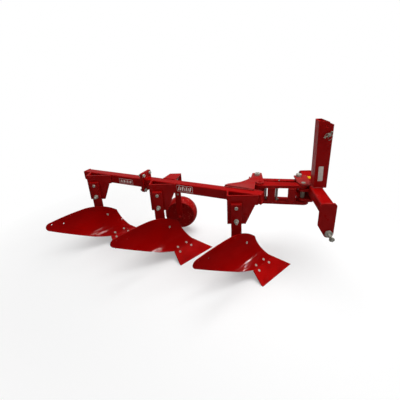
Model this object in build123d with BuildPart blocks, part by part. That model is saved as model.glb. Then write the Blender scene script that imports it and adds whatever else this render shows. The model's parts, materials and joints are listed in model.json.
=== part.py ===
from build123d import *
from math import atan2, cos, degrees, radians, sin, sqrt, tan
import os

# Three-furrow mounted plough, in millimetres.
# +X is the direction of travel, +Y is to the left (the unploughed land), +Z is up.
# The origin lies on the floor, under the middle of the plough's overall box.

# Plough bodies
body_names = ("front", "middle", "rear")
body_step_x = 656.0          # each body stands this far behind the one before it
body_step_y = 256.0          # and this far to the left, which is the furrow width
bolt_z = 545.0               # upper leg bolt above the floor
lower_bolt_drop = 111.0      # shear bolt below the upper leg bolt

# Place of the front body's leg centre line in the overall box
datum_x = 466.0
datum_y = -169.0

# Main beam, a square tube that runs back and to the left
beam_angle = degrees(atan2(body_step_y, body_step_x))
beam_size = 80.0
beam_wall = 8.0
beam_corner = 8.0
beam_bottom_z = 558.0
beam_front_x = 184.0         # near front corner of the beam, from the front leg
beam_front_y = 36.0
front_beam_length = 1060.0
rear_beam_length = 699.0
end_plate_wall = 8.0

# Bolted flange between the two beam halves
flange_thickness = 12.0
flange_bottom_drop = 34.0
flange_top_rise = 58.0
flange_side = 27.0
flange_corner = 8.0
flange_bolt_d = 17.0
flange_bolt_side = 46.0      # from the beam's centre
flange_bolt_rise = 36.0      # above the beam
flange_bolt_drop = 21.0      # below the beam

# Leg brackets, plates parallel to travel that fold back to the beam
bracket_plate = 12.0
bracket_face_y = 33.0        # outer face of the bracket from the leg bolts' datum
bracket_rear_x = -69.0
bracket_bottom_z = 398.0
bracket_foot_front_x = 72.0
bracket_side_front_x = 142.0

# Legs, flat bars on the outer faces of the brackets
leg_width = 80.0
leg_thickness = 25.0
leg_top_rise = 34.0
leg_foot_z = 118.0
leg_top_bevel = 8.0
leg_bolt_d = 20.5

# Mouldboards, bent to a level cylinder beside the cutting edge
sweep_angle = 47.6           # cutting edge from the direction of travel
curve_radius = 269.0
curve_axis_u = -327.0        # cylinder's axis, across the cutting edge
curve_axis_z = 298.5
board_thickness = 7.0
share_joint_z = 74.0
board_top_angle = 24.0
board_hole_d = 12.0

# Shares, flat plates tangent to the mouldboards
share_thickness = 11.0
share_edge_wing = -38.0      # ends of the cutting edge, along the sweep direction
share_edge_point = 344.0
share_top_wing = -6.0
share_top_land = 250.0

# Frogs and landsides behind each mouldboard
seat_thickness = 12.0
seat_wing = 66.0
seat_land = 224.0
seat_down = 66.0
seat_up_angle = 24.0
upper_seat_wing = 20.0       # start of the upper seat, along the sweep direction
upper_seat_length = 100.0
upper_seat_low = -16.0       # degrees from level
upper_seat_high = -4.0
web_thickness = 12.0
web_rear_z = 250.0           # top of the web at the leg's rear and front edges
web_front_z = 284.0
web_nose = ((150.0, 270.0), (300.0, 60.0), (250.0, 14.0))
web_tail_x = -110.0
web_tail_low_z = 14.0
web_tail_high_z = 76.0
landside_y = 72.0
landside_thickness = 12.0
landside_height = 86.0
landside_rear_x = -190.0
landside_front_x = 330.0     # before it is cut off behind share and mouldboard
landside_bevel = 20.0
land_pad_front_x = 220.0
land_pad_low_z = 18.0
land_pad_high_z = 68.0

# Depth wheel
arm_x = -526.0
arm_y = 524.0
arm_width = 54.0
arm_thickness = 16.0
arm_top_z = 622.0
arm_hole_d = 17.0
arm_hole_pitch = 38.0
arm_hole_margin = 30.0
arm_hole_count = 5
wheel_bracket_plate = 12.0
wheel_bracket_rear_x = -585.0
wheel_bracket_front_x = -483.0
wheel_lid_rear_x = -626.0    # where the bracket meets the beam's far face
wheel_lid_front_x = -514.0
wheel_bracket_drop = 118.0
wheel_axle_z = 204.0
wheel_radius = 157.0
wheel_width = 150.0
wheel_rim = 8.0
wheel_disc = 6.0
wheel_disc_inset = 14.0
wheel_hub_r = 34.0
wheel_axle_r = 15.0
axle_running_clearance = 0.05
axle_collar_r = 26.0
axle_collar = 8.0
axle_end_gap = 1.0           # between a collar and the hub
wheel_side_gap = 6.0
wheel_crown = 22.0

# Headstock
hitch_spread = 683.0         # between the shoulders of the lower-link pins
hitch_centre_y = 201.5
crossbar_rear_x = 570.0
crossbar_depth = 90.0
crossbar_height = 80.0
crossbar_wall = 8.0
crossbar_corner = 12.0
end_plate_thickness = 12.0
end_plate_rear_x = 561.0
end_plate_front_x = 675.0
end_plate_top_z = 641.0
end_plate_corner = 20.0
end_plate_shoulder_z = 474.0
hitch_pin_x = 639.0
hitch_pin_z = 412.0
hitch_pin_d = 22.0
hitch_pin_reach = 92.0
hitch_pin_collar_d = 46.0
hitch_pin_collar = 18.0
hitch_pin_head = 12.0
hitch_pin_head_r = 17.0
end_plate_eye_r = 36.0
end_plate_heel_angle = 30.0

# Mast, a channel that opens forwards
mast_width = 100.0
mast_plate = 10.0
mast_rear_foot_x = 588.0
mast_rear_top_x = 579.0
mast_front_x = 683.0
mast_top_z = 1140.0
mast_chamfer_z = 26.0
mast_chamfer_x = 62.0
top_link_pin_x = 655.0
top_link_pin_z = mast_top_z - 96.0
top_link_hole_x = 640.0
top_link_hole_z = mast_top_z - 37.0
top_link_pin_d = 19.0
top_link_clearance = 0.25
top_link_pin_overhang = 24.0
top_link_collar_r = 15.5
top_link_collar = 8.0
top_link_collar_gap = 1.0

# Parallel linkage between headstock and beam
near_pivot_rear = (197.0, 274.0)
near_pivot_front = (531.0, 228.0)
pivot_spacing_x = -6.0       # far pivots from near pivots
pivot_spacing_y = 150.0
pivot_pin_d = 34.0
pivot_running_clearance = 0.05
pivot_stand_proud = 2.0      # near pins above their plates
pivot_head_d = 42.0
pivot_head = 12.0
pivot_foot = 8.0
link_clearance = 1.0         # between a link and the plates beside it

# Near link: two flat bars with posts between them
link_flat = 22.0
near_link_width = 98.0
near_link_eye_r = 33.0       # front eye of the upper flat, behind the crossbar
near_link_drop = 158.0       # from the top of the beam down to the link's underside
near_link_boss_r = 44.0
link_post_width = 60.0
link_post_thickness = 14.0
link_post_stations = (94.0, 252.0)
tie_rod_d = 20.0
tie_rod_station = 136.0
tie_rod_across = -10.0

# Far link: a bar with a tall bush at each end
far_link_width = 50.0
far_link_height = 50.0
far_link_drop = 24.0         # from the top of the beam down to the bar
far_bush_d = 60.0

# Pivot plates on the beam
upper_plate = 12.0
lower_gusset_plate = 14.0
gusset_tip = 320.0           # along the beam's far edge
gusset_front = 73.0
gusset_lap = 15.0
gusset_sweep = ((-57.0, 251.0), (40.0, 280.0), (91.0, 322.0), (132.0, 372.0))
gusset_far_left = 36.0       # corners beside the far pivot
gusset_far_right = 41.0
gusset_far_margin = 59.0
upper_lobe_r = 33.0
lower_near_eye_r = 37.0
lower_far_eye_r = 35.0
gusset_web = 12.0
gusset_web_start = 80.0      # along the beam's far face
gusset_web_end = (126.0, 425.0)
gusset_web_root = 20.0
gusset_web_slope = 125.0     # where its sloping foot reaches the lower plate
lower_gusset_left_x = 118.0
lower_gusset_near_y = 262.0
lower_gusset_far_y = 434.0

# Pivot plates on the headstock
head_plate = 20.0
head_upper_lap = 17.0        # how far the upper plate lies on the crossbar
head_upper_rear_x = 490.0
head_upper_near_y = 258.0
head_far_margin = 22.0
head_eye_r = 38.0
middle_head_drop = 49.0      # from the top of the beam down to the plate's underside
lower_head_rise = 6.0        # above the link's lower flat
lower_head_near = 54.0
lower_head_reach = 30.0      # under the crossbar
head_web = 12.0

os.makedirs("parts", exist_ok=True)

beam_top_z = beam_bottom_z + beam_size
bolt_lower_z = bolt_z - lower_bolt_drop


def export(part, label):
    part.label = label
    export_step(part, f"parts/{label}.step")


def polygon(points):
    """Add a face through the given points to the active sketch."""
    Polygon(*points, align=None)


# Directions along and across the beam, in plan
beam_rad = radians(beam_angle)
beam_back = (-cos(beam_rad), sin(beam_rad))
beam_across = (sin(beam_rad), cos(beam_rad))
beam_origin_x = datum_x + beam_front_x
beam_origin_y = datum_y + beam_front_y


def beam_point(back, across):
    """Plan position at a distance back along the beam and across from its near face."""
    x = beam_origin_x + back * beam_back[0] + across * beam_across[0]
    y = beam_origin_y + back * beam_back[1] + across * beam_across[1]
    return (x, y)


def beam_plane(back):
    """Plane square to the beam, centred on the tube, facing backwards."""
    x, y = beam_point(back, beam_size / 2)
    return Plane(
        origin=(x, y, beam_bottom_z + beam_size / 2),
        x_dir=(beam_across[0], beam_across[1], 0),
        z_dir=(beam_back[0], beam_back[1], 0),
    )


# Beam halves
beam_sections = (
    ("front_beam", end_plate_wall, front_beam_length - flange_thickness - end_plate_wall),
    ("rear_beam", front_beam_length + flange_thickness, rear_beam_length - flange_thickness),
)
for beam_name, beam_start, beam_length in beam_sections:
    with BuildPart() as beam:
        with BuildSketch(beam_plane(beam_start)):
            RectangleRounded(beam_size, beam_size, beam_corner)
            RectangleRounded(beam_size - 2 * beam_wall, beam_size - 2 * beam_wall,
                             beam_corner / 2, mode=Mode.SUBTRACT)
        extrude(amount=beam_length)
    export(beam.part, beam_name)

# Bolted flanges: one behind the front half, one ahead of the rear half
flange_width = beam_size + 2 * flange_side
flange_height = beam_size + flange_top_rise + flange_bottom_drop
flange_rise = (flange_top_rise - flange_bottom_drop) / 2
flange_bolt_top = beam_size / 2 + flange_bolt_rise
flange_bolt_bottom = -beam_size / 2 - flange_bolt_drop
flange_sections = (
    ("front_beam_flange", front_beam_length - flange_thickness),
    ("rear_beam_flange", front_beam_length),
)
for flange_name, flange_start in flange_sections:
    with BuildPart() as flange:
        with BuildSketch(beam_plane(flange_start)):
            with Locations((0, flange_rise)):
                RectangleRounded(flange_width, flange_height, flange_corner)
            with Locations((-flange_bolt_side, flange_bolt_top),
                           (flange_bolt_side, flange_bolt_top),
                           (-flange_bolt_side, flange_bolt_bottom),
                           (flange_bolt_side, flange_bolt_bottom)):
                Circle(flange_bolt_d / 2, mode=Mode.SUBTRACT)
        extrude(amount=flange_thickness)
    export(flange.part, flange_name)

# Plates that close the ends of the beam
end_caps = (
    ("front_end_cap", 0.0),
    ("rear_end_cap", front_beam_length + rear_beam_length),
)
for cap_name, cap_start in end_caps:
    with BuildPart() as end_cap:
        with BuildSketch(beam_plane(cap_start)):
            RectangleRounded(beam_size, beam_size, beam_corner)
        extrude(amount=end_plate_wall)
    export(end_cap.part, cap_name)

# Profile of the working surface, in the plane square to the cutting edge
sweep_rad = radians(sweep_angle)
joint_cos = (curve_axis_z - share_joint_z) / curve_radius
joint_angle = degrees(atan2(sqrt(1 - joint_cos ** 2), joint_cos))
joint_rad = radians(joint_angle)
joint_u = curve_axis_u + curve_radius * sin(joint_rad)
share_slope_length = share_joint_z / sin(joint_rad)
share_edge_u = joint_u - share_slope_length * cos(joint_rad)


def section_plane(leg_x, leg_y):
    """Plane square to the cutting edge: local x points back and left, local y points up."""
    return Plane(
        origin=(leg_x, leg_y, 0),
        x_dir=(-sin(sweep_rad), cos(sweep_rad), 0),
        z_dir=(cos(sweep_rad), sin(sweep_rad), 0),
    )


def outline_plane(leg_x, leg_y):
    """Upright plane along the cutting edge: local x points forward and left, local y up."""
    return Plane(
        origin=(leg_x, leg_y, 0),
        x_dir=(cos(sweep_rad), sin(sweep_rad), 0),
        z_dir=(sin(sweep_rad), -cos(sweep_rad), 0),
    )


def curved_strip(inner, outer, low_angle, high_angle):
    """Face between two radii of the mouldboard's cylinder, angles from level."""
    centre = (curve_axis_u, curve_axis_z)
    sweep = high_angle - low_angle
    with BuildSketch() as strip:
        with BuildLine():
            inside = CenterArc(centre, inner, low_angle, sweep)
            outside = CenterArc(centre, outer, low_angle, sweep)
            Line(inside @ 0, outside @ 0)
            Line(inside @ 1, outside @ 1)
        make_face()
    return strip.sketch


def along_share(down, deep):
    """Point in the section plane, down the share's slope and under its top face."""
    u = joint_u - down * cos(joint_rad) + deep * sin(joint_rad)
    z = share_joint_z - down * sin(joint_rad) - deep * cos(joint_rad)
    return (u, z)


# Outline of the mouldboard, seen along the section plane: (along the edge, height)
shin_low = (238.0, 74.0)
shin_mid = (184.0, 168.0)
shin_high = (156.0, 262.0)
crest_mid = (20.0, 347.0)
crest_rear = (-145.0, 393.0)
tail_top_mid = (-300.0, 390.0)
tail_top = (-465.0, 372.0)
tail_nose = (-507.0, 333.0)
tail_low = (-482.0, 294.0)
belly_mid = (-300.0, 187.0)
belly_front = (-130.0, 108.0)
heel_mid = (-66.0, 90.0)
heel_front = (-5.0, 76.0)
tail_holes = ((-357.0, 320.0), (-456.0, 349.0))
land_joint_angle = joint_angle - 90

for index, body_name in enumerate(body_names):
    leg_x = datum_x - index * body_step_x
    leg_y = datum_y + index * body_step_y
    section = section_plane(leg_x, leg_y)
    outline = outline_plane(leg_x, leg_y)

    # Bracket: side plate with a fold at its rear back to the beam
    inner_y = bracket_face_y + bracket_plate
    beam_rear_y = beam_front_y + (beam_front_x - bracket_rear_x) * tan(beam_rad)
    fold_front_x = bracket_rear_x + bracket_plate
    fold_front_y = beam_front_y + (beam_front_x - fold_front_x) * tan(beam_rad)
    side_front_x = beam_front_x - (inner_y - beam_front_y) / tan(beam_rad)
    with BuildPart() as bracket:
        with BuildSketch(Plane.XZ.offset(-(leg_y + bracket_face_y))):
            polygon((
                (leg_x + bracket_rear_x, bracket_bottom_z),
                (leg_x + bracket_foot_front_x, bracket_bottom_z),
                (leg_x + bracket_side_front_x, beam_bottom_z),
                (leg_x + side_front_x, beam_bottom_z),
                (leg_x + side_front_x, beam_top_z),
                (leg_x + bracket_rear_x, beam_top_z),
            ))
            with Locations((leg_x, bolt_z), (leg_x, bolt_lower_z)):
                Circle(leg_bolt_d / 2, mode=Mode.SUBTRACT)
        extrude(amount=-bracket_plate)
        with BuildSketch(Plane.XY.offset(bracket_bottom_z)):
            polygon((
                (leg_x + bracket_rear_x, leg_y + bracket_face_y),
                (leg_x + fold_front_x, leg_y + bracket_face_y),
                (leg_x + fold_front_x, leg_y + fold_front_y),
                (leg_x + bracket_rear_x, leg_y + beam_rear_y),
            ))
        extrude(amount=beam_top_z - bracket_bottom_z)
    export(bracket.part, f"{body_name}_leg_bracket")

    # Leg: flat bar with a bevelled top
    leg_face_y = bracket_face_y - leg_thickness
    with BuildPart() as leg:
        with BuildSketch(Plane.XZ.offset(-(leg_y + leg_face_y))):
            polygon((
                (leg_x - leg_width / 2, leg_foot_z),
                (leg_x + leg_width / 2, leg_foot_z),
                (leg_x + leg_width / 2, bolt_z + leg_top_rise),
                (leg_x - leg_width / 2, bolt_z + leg_top_rise),
            ))
            with Locations((leg_x, bolt_z), (leg_x, bolt_lower_z)):
                Circle(leg_bolt_d / 2, mode=Mode.SUBTRACT)
        extrude(amount=-leg_thickness)
        chamfer(leg.edges().group_by(Axis.Z)[-1].sort_by(Axis.Y)[0], leg_top_bevel)
    export(leg.part, f"{body_name}_leg")

    # Mouldboard: cylindrical sheet trimmed to its outline
    with BuildPart() as mouldboard:
        with BuildSketch(section.offset(tail_nose[0] - 10)):
            add(curved_strip(curve_radius, curve_radius + board_thickness, land_joint_angle,
                             board_top_angle))
        extrude(amount=shin_low[0] - tail_nose[0] + 20)
        with BuildSketch(outline.offset(-curve_radius)):
            with BuildLine():
                shin = ThreePointArc(shin_low, shin_mid, shin_high)
                crest = ThreePointArc(shin_high, crest_mid, crest_rear)
                ThreePointArc(crest_rear, tail_top_mid, tail_top)
                ThreePointArc(tail_top, tail_nose, tail_low)
                ThreePointArc(tail_low, belly_mid, belly_front)
                ThreePointArc(belly_front, heel_mid, heel_front)
                Polyline(heel_front, (heel_front[0], 0), (shin_low[0], 0), shin_low)
            make_face()
            with Locations(*tail_holes):
                Circle(board_hole_d / 2, mode=Mode.SUBTRACT)
        extrude(amount=2 * curve_radius, mode=Mode.INTERSECT)
    export(mouldboard.part, f"{body_name}_mouldboard")

    # Share: flat plate, ground off level at the cutting edge
    share_plane = Plane(
        origin=section.from_local_coords((joint_u, share_joint_z, 0)),
        x_dir=section.z_dir,
        z_dir=section.from_local_coords((-sin(joint_rad), cos(joint_rad), 0))
        - section.origin,
    )
    with BuildPart() as share:
        with BuildSketch(share_plane):
            polygon((
                (share_top_wing, 0),
                (share_top_land, 0),
                (share_edge_point, -share_slope_length),
                (share_edge_wing, -share_slope_length),
            ))
        extrude(amount=-share_thickness)
        split(bisect_by=Plane.XY, keep=Keep.TOP)
    export(share.part, f"{body_name}_share")

    # Space in front of the working surface's back, which the frog and landside keep out of
    clear_start = share_edge_wing - 400
    clear_length = share_edge_point - share_edge_wing + 800
    deep = share_thickness
    with BuildPart() as front_space:
        with BuildSketch(section.offset(clear_start)):
            add(curved_strip(1.0, curve_radius + board_thickness, land_joint_angle, 89))
            polygon((
                along_share(0, board_thickness),
                along_share(0, -curve_radius),
                along_share(2 * share_slope_length, -curve_radius),
                along_share(2 * share_slope_length, deep),
                along_share(0, deep),
            ))
        extrude(amount=clear_length)

    # Frog: seats under share and mouldboard, an upright web and the landside pad
    with BuildPart() as frog:
        with BuildSketch(section.offset(seat_wing)):
            add(curved_strip(curve_radius + board_thickness,
                             curve_radius + board_thickness + seat_thickness,
                             land_joint_angle, land_joint_angle + seat_up_angle))
            polygon((
                along_share(0, deep),
                along_share(0, deep + seat_thickness),
                along_share(seat_down, deep + seat_thickness),
                along_share(seat_down, deep),
            ))
        extrude(amount=seat_land - seat_wing)
        with BuildSketch(section.offset(upper_seat_wing)):
            add(curved_strip(curve_radius + board_thickness,
                             curve_radius + board_thickness + seat_thickness,
                             upper_seat_low, upper_seat_high))
        extrude(amount=upper_seat_length)
        with BuildPart(mode=Mode.PRIVATE) as web:
            with BuildSketch(Plane.XZ.offset(-(leg_y + bracket_face_y))):
                polygon((
                    (leg_x - leg_width / 2, leg_foot_z),
                    (leg_x - leg_width / 2, web_rear_z),
                    (leg_x + leg_width / 2, web_front_z),
                    *((leg_x + nose_x, nose_z) for nose_x, nose_z in web_nose),
                    (leg_x + web_tail_x, web_tail_low_z),
                    (leg_x + web_tail_x, web_tail_high_z),
                ))
            extrude(amount=-web_thickness)
            with BuildSketch(Plane.XZ.offset(-(leg_y + bracket_face_y + web_thickness))):
                polygon((
                    (leg_x + web_tail_x, land_pad_low_z),
                    (leg_x + land_pad_front_x, land_pad_low_z),
                    (leg_x + land_pad_front_x, land_pad_high_z),
                    (leg_x + web_tail_x, land_pad_high_z),
                ))
            extrude(amount=-(landside_y - landside_thickness - bracket_face_y - web_thickness))
        add(web.part - front_space.part)
        split(bisect_by=Plane.XZ.offset(-(leg_y + landside_y - landside_thickness)), keep=Keep.TOP)
    export(frog.part, f"{body_name}_frog")

    # Landside: runs against the furrow wall
    with BuildPart() as landside:
        with BuildSketch(Plane.XZ.offset(-(leg_y + landside_y))):
            polygon((
                (leg_x + landside_rear_x, 0),
                (leg_x + landside_front_x, 0),
                (leg_x + landside_front_x, landside_height),
                (leg_x + landside_rear_x + landside_bevel, landside_height),
                (leg_x + landside_rear_x, landside_height - landside_bevel),
            ))
        extrude(amount=landside_thickness)
        add(front_space.part, mode=Mode.SUBTRACT)
    export(landside.part, f"{body_name}_landside")

# Depth wheel bracket: outer plate, fold and lid on the far side of the beam
arm_mid_x = datum_x + arm_x
arm_near_y = datum_y + arm_y
arm_far_y = arm_near_y + arm_thickness


def beam_far_y(x):
    """Y of the beam's far face at a given x."""
    near = beam_origin_y + (beam_origin_x - x) * tan(beam_rad)
    return near + beam_size / cos(beam_rad)


bracket_x0 = datum_x + wheel_bracket_rear_x
bracket_x1 = datum_x + wheel_bracket_front_x
lid_x0 = datum_x + wheel_lid_rear_x
lid_x1 = datum_x + wheel_lid_front_x
bracket_far_y = arm_far_y + wheel_bracket_plate
with BuildPart() as wheel_bracket:
    with BuildSketch(Plane.XZ.offset(-arm_far_y)):
        polygon((
            (bracket_x0, beam_top_z - wheel_bracket_drop),
            (bracket_x1, beam_top_z - wheel_bracket_drop),
            (bracket_x1, beam_top_z),
            (bracket_x0, beam_top_z),
        ))
    extrude(amount=-wheel_bracket_plate)
    with BuildSketch(Plane.XY.offset(beam_top_z - wheel_bracket_drop)):
        polygon((
            (lid_x0, beam_far_y(lid_x0)),
            (lid_x0 + wheel_bracket_plate, beam_far_y(lid_x0 + wheel_bracket_plate)),
            (bracket_x0 + wheel_bracket_plate, bracket_far_y),
            (bracket_x0, bracket_far_y),
        ))
    extrude(amount=wheel_bracket_drop)
    with BuildSketch(Plane.XY.offset(beam_top_z - wheel_bracket_plate)):
        polygon((
            (lid_x0, beam_far_y(lid_x0)),
            (lid_x1, beam_far_y(lid_x1)),
            (bracket_x1, bracket_far_y),
            (bracket_x0, bracket_far_y),
        ))
    extrude(amount=wheel_bracket_plate)
export(wheel_bracket.part, "wheel_bracket")

# Wheel arm: flat bar with a row of holes and a round foot at the axle
with BuildPart() as wheel_arm:
    with BuildSketch(Plane.XZ.offset(-arm_near_y)):
        with Locations((arm_mid_x, (arm_top_z + wheel_axle_z) / 2)):
            Rectangle(arm_width, arm_top_z - wheel_axle_z)
        with Locations((arm_mid_x, wheel_axle_z)):
            Circle(arm_width / 2)
        for step in range(arm_hole_count):
            with Locations((arm_mid_x, arm_top_z - arm_hole_margin - step * arm_hole_pitch)):
                Circle(arm_hole_d / 2, mode=Mode.SUBTRACT)
    extrude(amount=-arm_thickness)
export(wheel_arm.part, "wheel_arm")

# Axle: shaft fixed in the arm, with a collar at each side of the wheel
wheel_near_y = bracket_far_y + wheel_side_gap
wheel_far_y = wheel_near_y + wheel_width
axle_plane = Plane.XZ.offset(-arm_far_y)
with BuildPart() as wheel_axle:
    with BuildSketch(axle_plane):
        with Locations((arm_mid_x, wheel_axle_z)):
            Circle(wheel_axle_r)
    extrude(amount=-(wheel_far_y - arm_far_y + axle_end_gap + axle_collar / 2))
    with BuildSketch(axle_plane):
        with Locations((arm_mid_x, wheel_axle_z)):
            Circle(axle_collar_r)
    extrude(amount=-(wheel_near_y - arm_far_y - axle_end_gap))
    with BuildSketch(Plane.XZ.offset(-(wheel_far_y + axle_end_gap))):
        with Locations((arm_mid_x, wheel_axle_z)):
            Circle(axle_collar_r)
    extrude(amount=-axle_collar)
export(wheel_axle.part, "wheel_axle")

# Wheel: crowned rim, two discs and a hub, turned about the axle
wheel_plane = Plane(origin=(arm_mid_x, wheel_near_y, wheel_axle_z), x_dir=(1, 0, 0), z_dir=(0, 0, 1))
hub_bore = wheel_axle_r + axle_running_clearance
disc_r = wheel_radius - wheel_crown + wheel_rim / 2
with BuildPart() as depth_wheel:
    with BuildSketch(wheel_plane):
        with BuildLine():
            crown = ThreePointArc((wheel_radius - wheel_crown, 0), (wheel_radius, wheel_width / 2),
                                  (wheel_radius - wheel_crown, wheel_width))
            inner_edge = ThreePointArc(
                (wheel_radius - wheel_crown - wheel_rim, 0),
                (wheel_radius - wheel_rim, wheel_width / 2),
                (wheel_radius - wheel_crown - wheel_rim, wheel_width))
            Line(crown @ 0, inner_edge @ 0)
            Line(crown @ 1, inner_edge @ 1)
        make_face()
        with Locations(((hub_bore + wheel_hub_r) / 2, wheel_width / 2)):
            Rectangle(wheel_hub_r - hub_bore, wheel_width)
        for disc_y in (wheel_disc_inset, wheel_width - wheel_disc_inset - wheel_disc):
            with BuildLine():
                Polyline((wheel_hub_r - 2, disc_y), (disc_r, disc_y), (disc_r, disc_y + wheel_disc),
                         (wheel_hub_r - 2, disc_y + wheel_disc), close=True)
            make_face()
    revolve(axis=Axis((arm_mid_x, wheel_near_y, wheel_axle_z), (0, 1, 0)))
export(depth_wheel.part, "depth_wheel")

# Headstock crossbar
cross_near_y = datum_y + hitch_centre_y - hitch_spread / 2
cross_far_y = datum_y + hitch_centre_y + hitch_spread / 2
cross_mid_x = datum_x + crossbar_rear_x + crossbar_depth / 2
cross_top_z = beam_top_z
with BuildPart() as crossbar:
    with BuildSketch(Plane.XZ.offset(-(cross_near_y + end_plate_thickness))):
        with Locations((cross_mid_x, cross_top_z - crossbar_height / 2)):
            RectangleRounded(crossbar_depth, crossbar_height, crossbar_corner)
            RectangleRounded(crossbar_depth - 2 * crossbar_wall, crossbar_height - 2 * crossbar_wall,
                             crossbar_corner - crossbar_wall / 2, mode=Mode.SUBTRACT)
    extrude(amount=-(hitch_spread - 2 * end_plate_thickness))
export(crossbar.part, "crossbar")

# End plates and lower-link pins, like pieces at both ends
eye_x = datum_x + hitch_pin_x
heel_rad = radians(end_plate_heel_angle)
side_table = (
    # name, inner face y, outward direction
    ("near", cross_near_y + end_plate_thickness, -1),
    ("far", cross_far_y - end_plate_thickness, 1),
)
for side_name, inner_face_y, outward in side_table:
    with BuildPart() as end_plate:
        with BuildSketch(Plane.XZ.offset(-inner_face_y)):
            with BuildLine():
                Polyline(
                    (eye_x + end_plate_eye_r, hitch_pin_z),
                    (datum_x + end_plate_front_x, end_plate_top_z),
                    (datum_x + end_plate_rear_x, end_plate_top_z),
                    (datum_x + end_plate_rear_x, end_plate_shoulder_z),
                    (eye_x - end_plate_eye_r * cos(heel_rad), hitch_pin_z - end_plate_eye_r * sin(heel_rad)),
                    (eye_x, hitch_pin_z - end_plate_eye_r),
                    close=True)
            make_face()
            with Locations((eye_x, hitch_pin_z)):
                Circle(end_plate_eye_r)
                Circle(hitch_pin_d / 2, mode=Mode.SUBTRACT)
        extrude(amount=-outward * end_plate_thickness)
        top_edges = end_plate.edges().filter_by(Axis.Y).group_by(Axis.Z)[-1]
        fillet(top_edges, end_plate_corner)
    export(end_plate.part, f"{side_name}_end_plate")

    with BuildPart() as hitch_pin:
        with BuildSketch(Plane.XZ.offset(-(inner_face_y - outward * hitch_pin_head))):
            with Locations((eye_x, hitch_pin_z)):
                Circle(hitch_pin_d / 2)
        extrude(amount=-outward * (end_plate_thickness + hitch_pin_head + hitch_pin_reach))
        with BuildSketch(Plane.XZ.offset(-(inner_face_y + outward * end_plate_thickness))):
            with Locations((eye_x, hitch_pin_z)):
                Circle(hitch_pin_collar_d / 2)
        extrude(amount=-outward * hitch_pin_collar)
        with BuildSketch(Plane.XZ.offset(-inner_face_y)):
            with Locations((eye_x, hitch_pin_z)):
                RegularPolygon(hitch_pin_head_r, 6)
        extrude(amount=outward * hitch_pin_head)
    export(hitch_pin.part, f"{side_name}_hitch_pin")

# Mast: rear web and two side flanges
mast_near_y = datum_y + hitch_centre_y - mast_width / 2
mast_far_y = mast_near_y + mast_width
mast_foot_x = datum_x + mast_rear_foot_x
mast_head_x = datum_x + mast_rear_top_x
mast_nose_x = datum_x + mast_front_x
flange_profile = (
    (mast_foot_x, cross_top_z),
    (mast_nose_x, cross_top_z),
    (mast_nose_x, mast_top_z - mast_chamfer_z),
    (mast_nose_x - mast_chamfer_x, mast_top_z),
    (mast_head_x, mast_top_z),
)
with BuildPart() as mast:
    with BuildSketch(Plane.XZ.offset(-mast_near_y)):
        polygon(flange_profile)
    extrude(amount=-mast_width)
    with BuildSketch(Plane.XZ.offset(-(mast_near_y + mast_plate))):
        polygon((
            (mast_foot_x + mast_plate, cross_top_z),
            (mast_nose_x + mast_plate, cross_top_z),
            (mast_nose_x + mast_plate, mast_top_z),
            (mast_head_x + mast_plate, mast_top_z),
        ))
    extrude(amount=-(mast_width - 2 * mast_plate), mode=Mode.SUBTRACT)
    with BuildSketch(Plane.XZ.offset(-mast_near_y)):
        with Locations((datum_x + top_link_pin_x, top_link_pin_z),
                       (datum_x + top_link_hole_x, top_link_hole_z)):
            Circle(top_link_pin_d / 2 + top_link_clearance)
    extrude(amount=-mast_width, mode=Mode.SUBTRACT)
export(mast.part, "mast")

with BuildPart() as top_link_pin:
    with BuildSketch(Plane.XZ.offset(-(mast_near_y - top_link_pin_overhang))):
        with Locations((datum_x + top_link_pin_x, top_link_pin_z)):
            Circle(top_link_pin_d / 2)
    extrude(amount=-(mast_width + 2 * top_link_pin_overhang))
    with BuildSketch(Plane.XZ.offset(-(mast_far_y + top_link_collar_gap))):
        with Locations((datum_x + top_link_pin_x, top_link_pin_z)):
            Circle(top_link_collar_r)
    extrude(amount=-top_link_collar)
export(top_link_pin.part, "top_link_pin")

# Linkage: pivot places in plan
near_rear = (datum_x + near_pivot_rear[0], datum_y + near_pivot_rear[1])
near_front = (datum_x + near_pivot_front[0], datum_y + near_pivot_front[1])
far_rear = (near_rear[0] + pivot_spacing_x, near_rear[1] + pivot_spacing_y)
far_front = (near_front[0] + pivot_spacing_x, near_front[1] + pivot_spacing_y)
link_top_z = beam_top_z - link_clearance
link_foot_z = beam_top_z - near_link_drop
lower_gusset_top = link_foot_z - link_clearance
lower_head_z = link_foot_z + link_flat + lower_head_rise
link_length = sqrt((near_front[0] - near_rear[0]) ** 2 + (near_front[1] - near_rear[1]) ** 2)
link_dir = ((near_front[0] - near_rear[0]) / link_length, (near_front[1] - near_rear[1]) / link_length)
link_hole_r = pivot_pin_d / 2 + pivot_running_clearance


def link_plane(centre, z):
    """Level plane at a link's rear pivot with local x along the link."""
    return Plane(origin=(centre[0], centre[1], z), x_dir=(link_dir[0], link_dir[1], 0), z_dir=(0, 0, 1))


# Near link: upper and lower flat bars joined by a boss and two posts
with BuildPart() as near_link:
    with BuildSketch(link_plane(near_rear, link_foot_z)):
        with Locations((link_length / 2, 0)):
            SlotCenterToCenter(link_length, near_link_width)
    extrude(amount=link_flat)
    with BuildSketch(link_plane(near_rear, link_top_z - link_flat)):
        Circle(near_link_width / 2)
        with Locations((link_length, 0)):
            Circle(near_link_eye_r)
        make_hull()
    extrude(amount=link_flat)
    with BuildSketch(link_plane(near_rear, link_foot_z + link_flat)):
        Circle(near_link_boss_r)
        for station in link_post_stations:
            with Locations((station, (link_post_thickness - near_link_width) / 2)):
                Rectangle(link_post_width, link_post_thickness)
    extrude(amount=link_top_z - link_foot_z - 2 * link_flat)
    with BuildSketch(link_plane(near_rear, link_foot_z)):
        with Locations((0, 0), (link_length, 0)):
            Circle(link_hole_r)
    extrude(amount=near_link_drop, mode=Mode.SUBTRACT)
export(near_link.part, "near_link")

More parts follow.
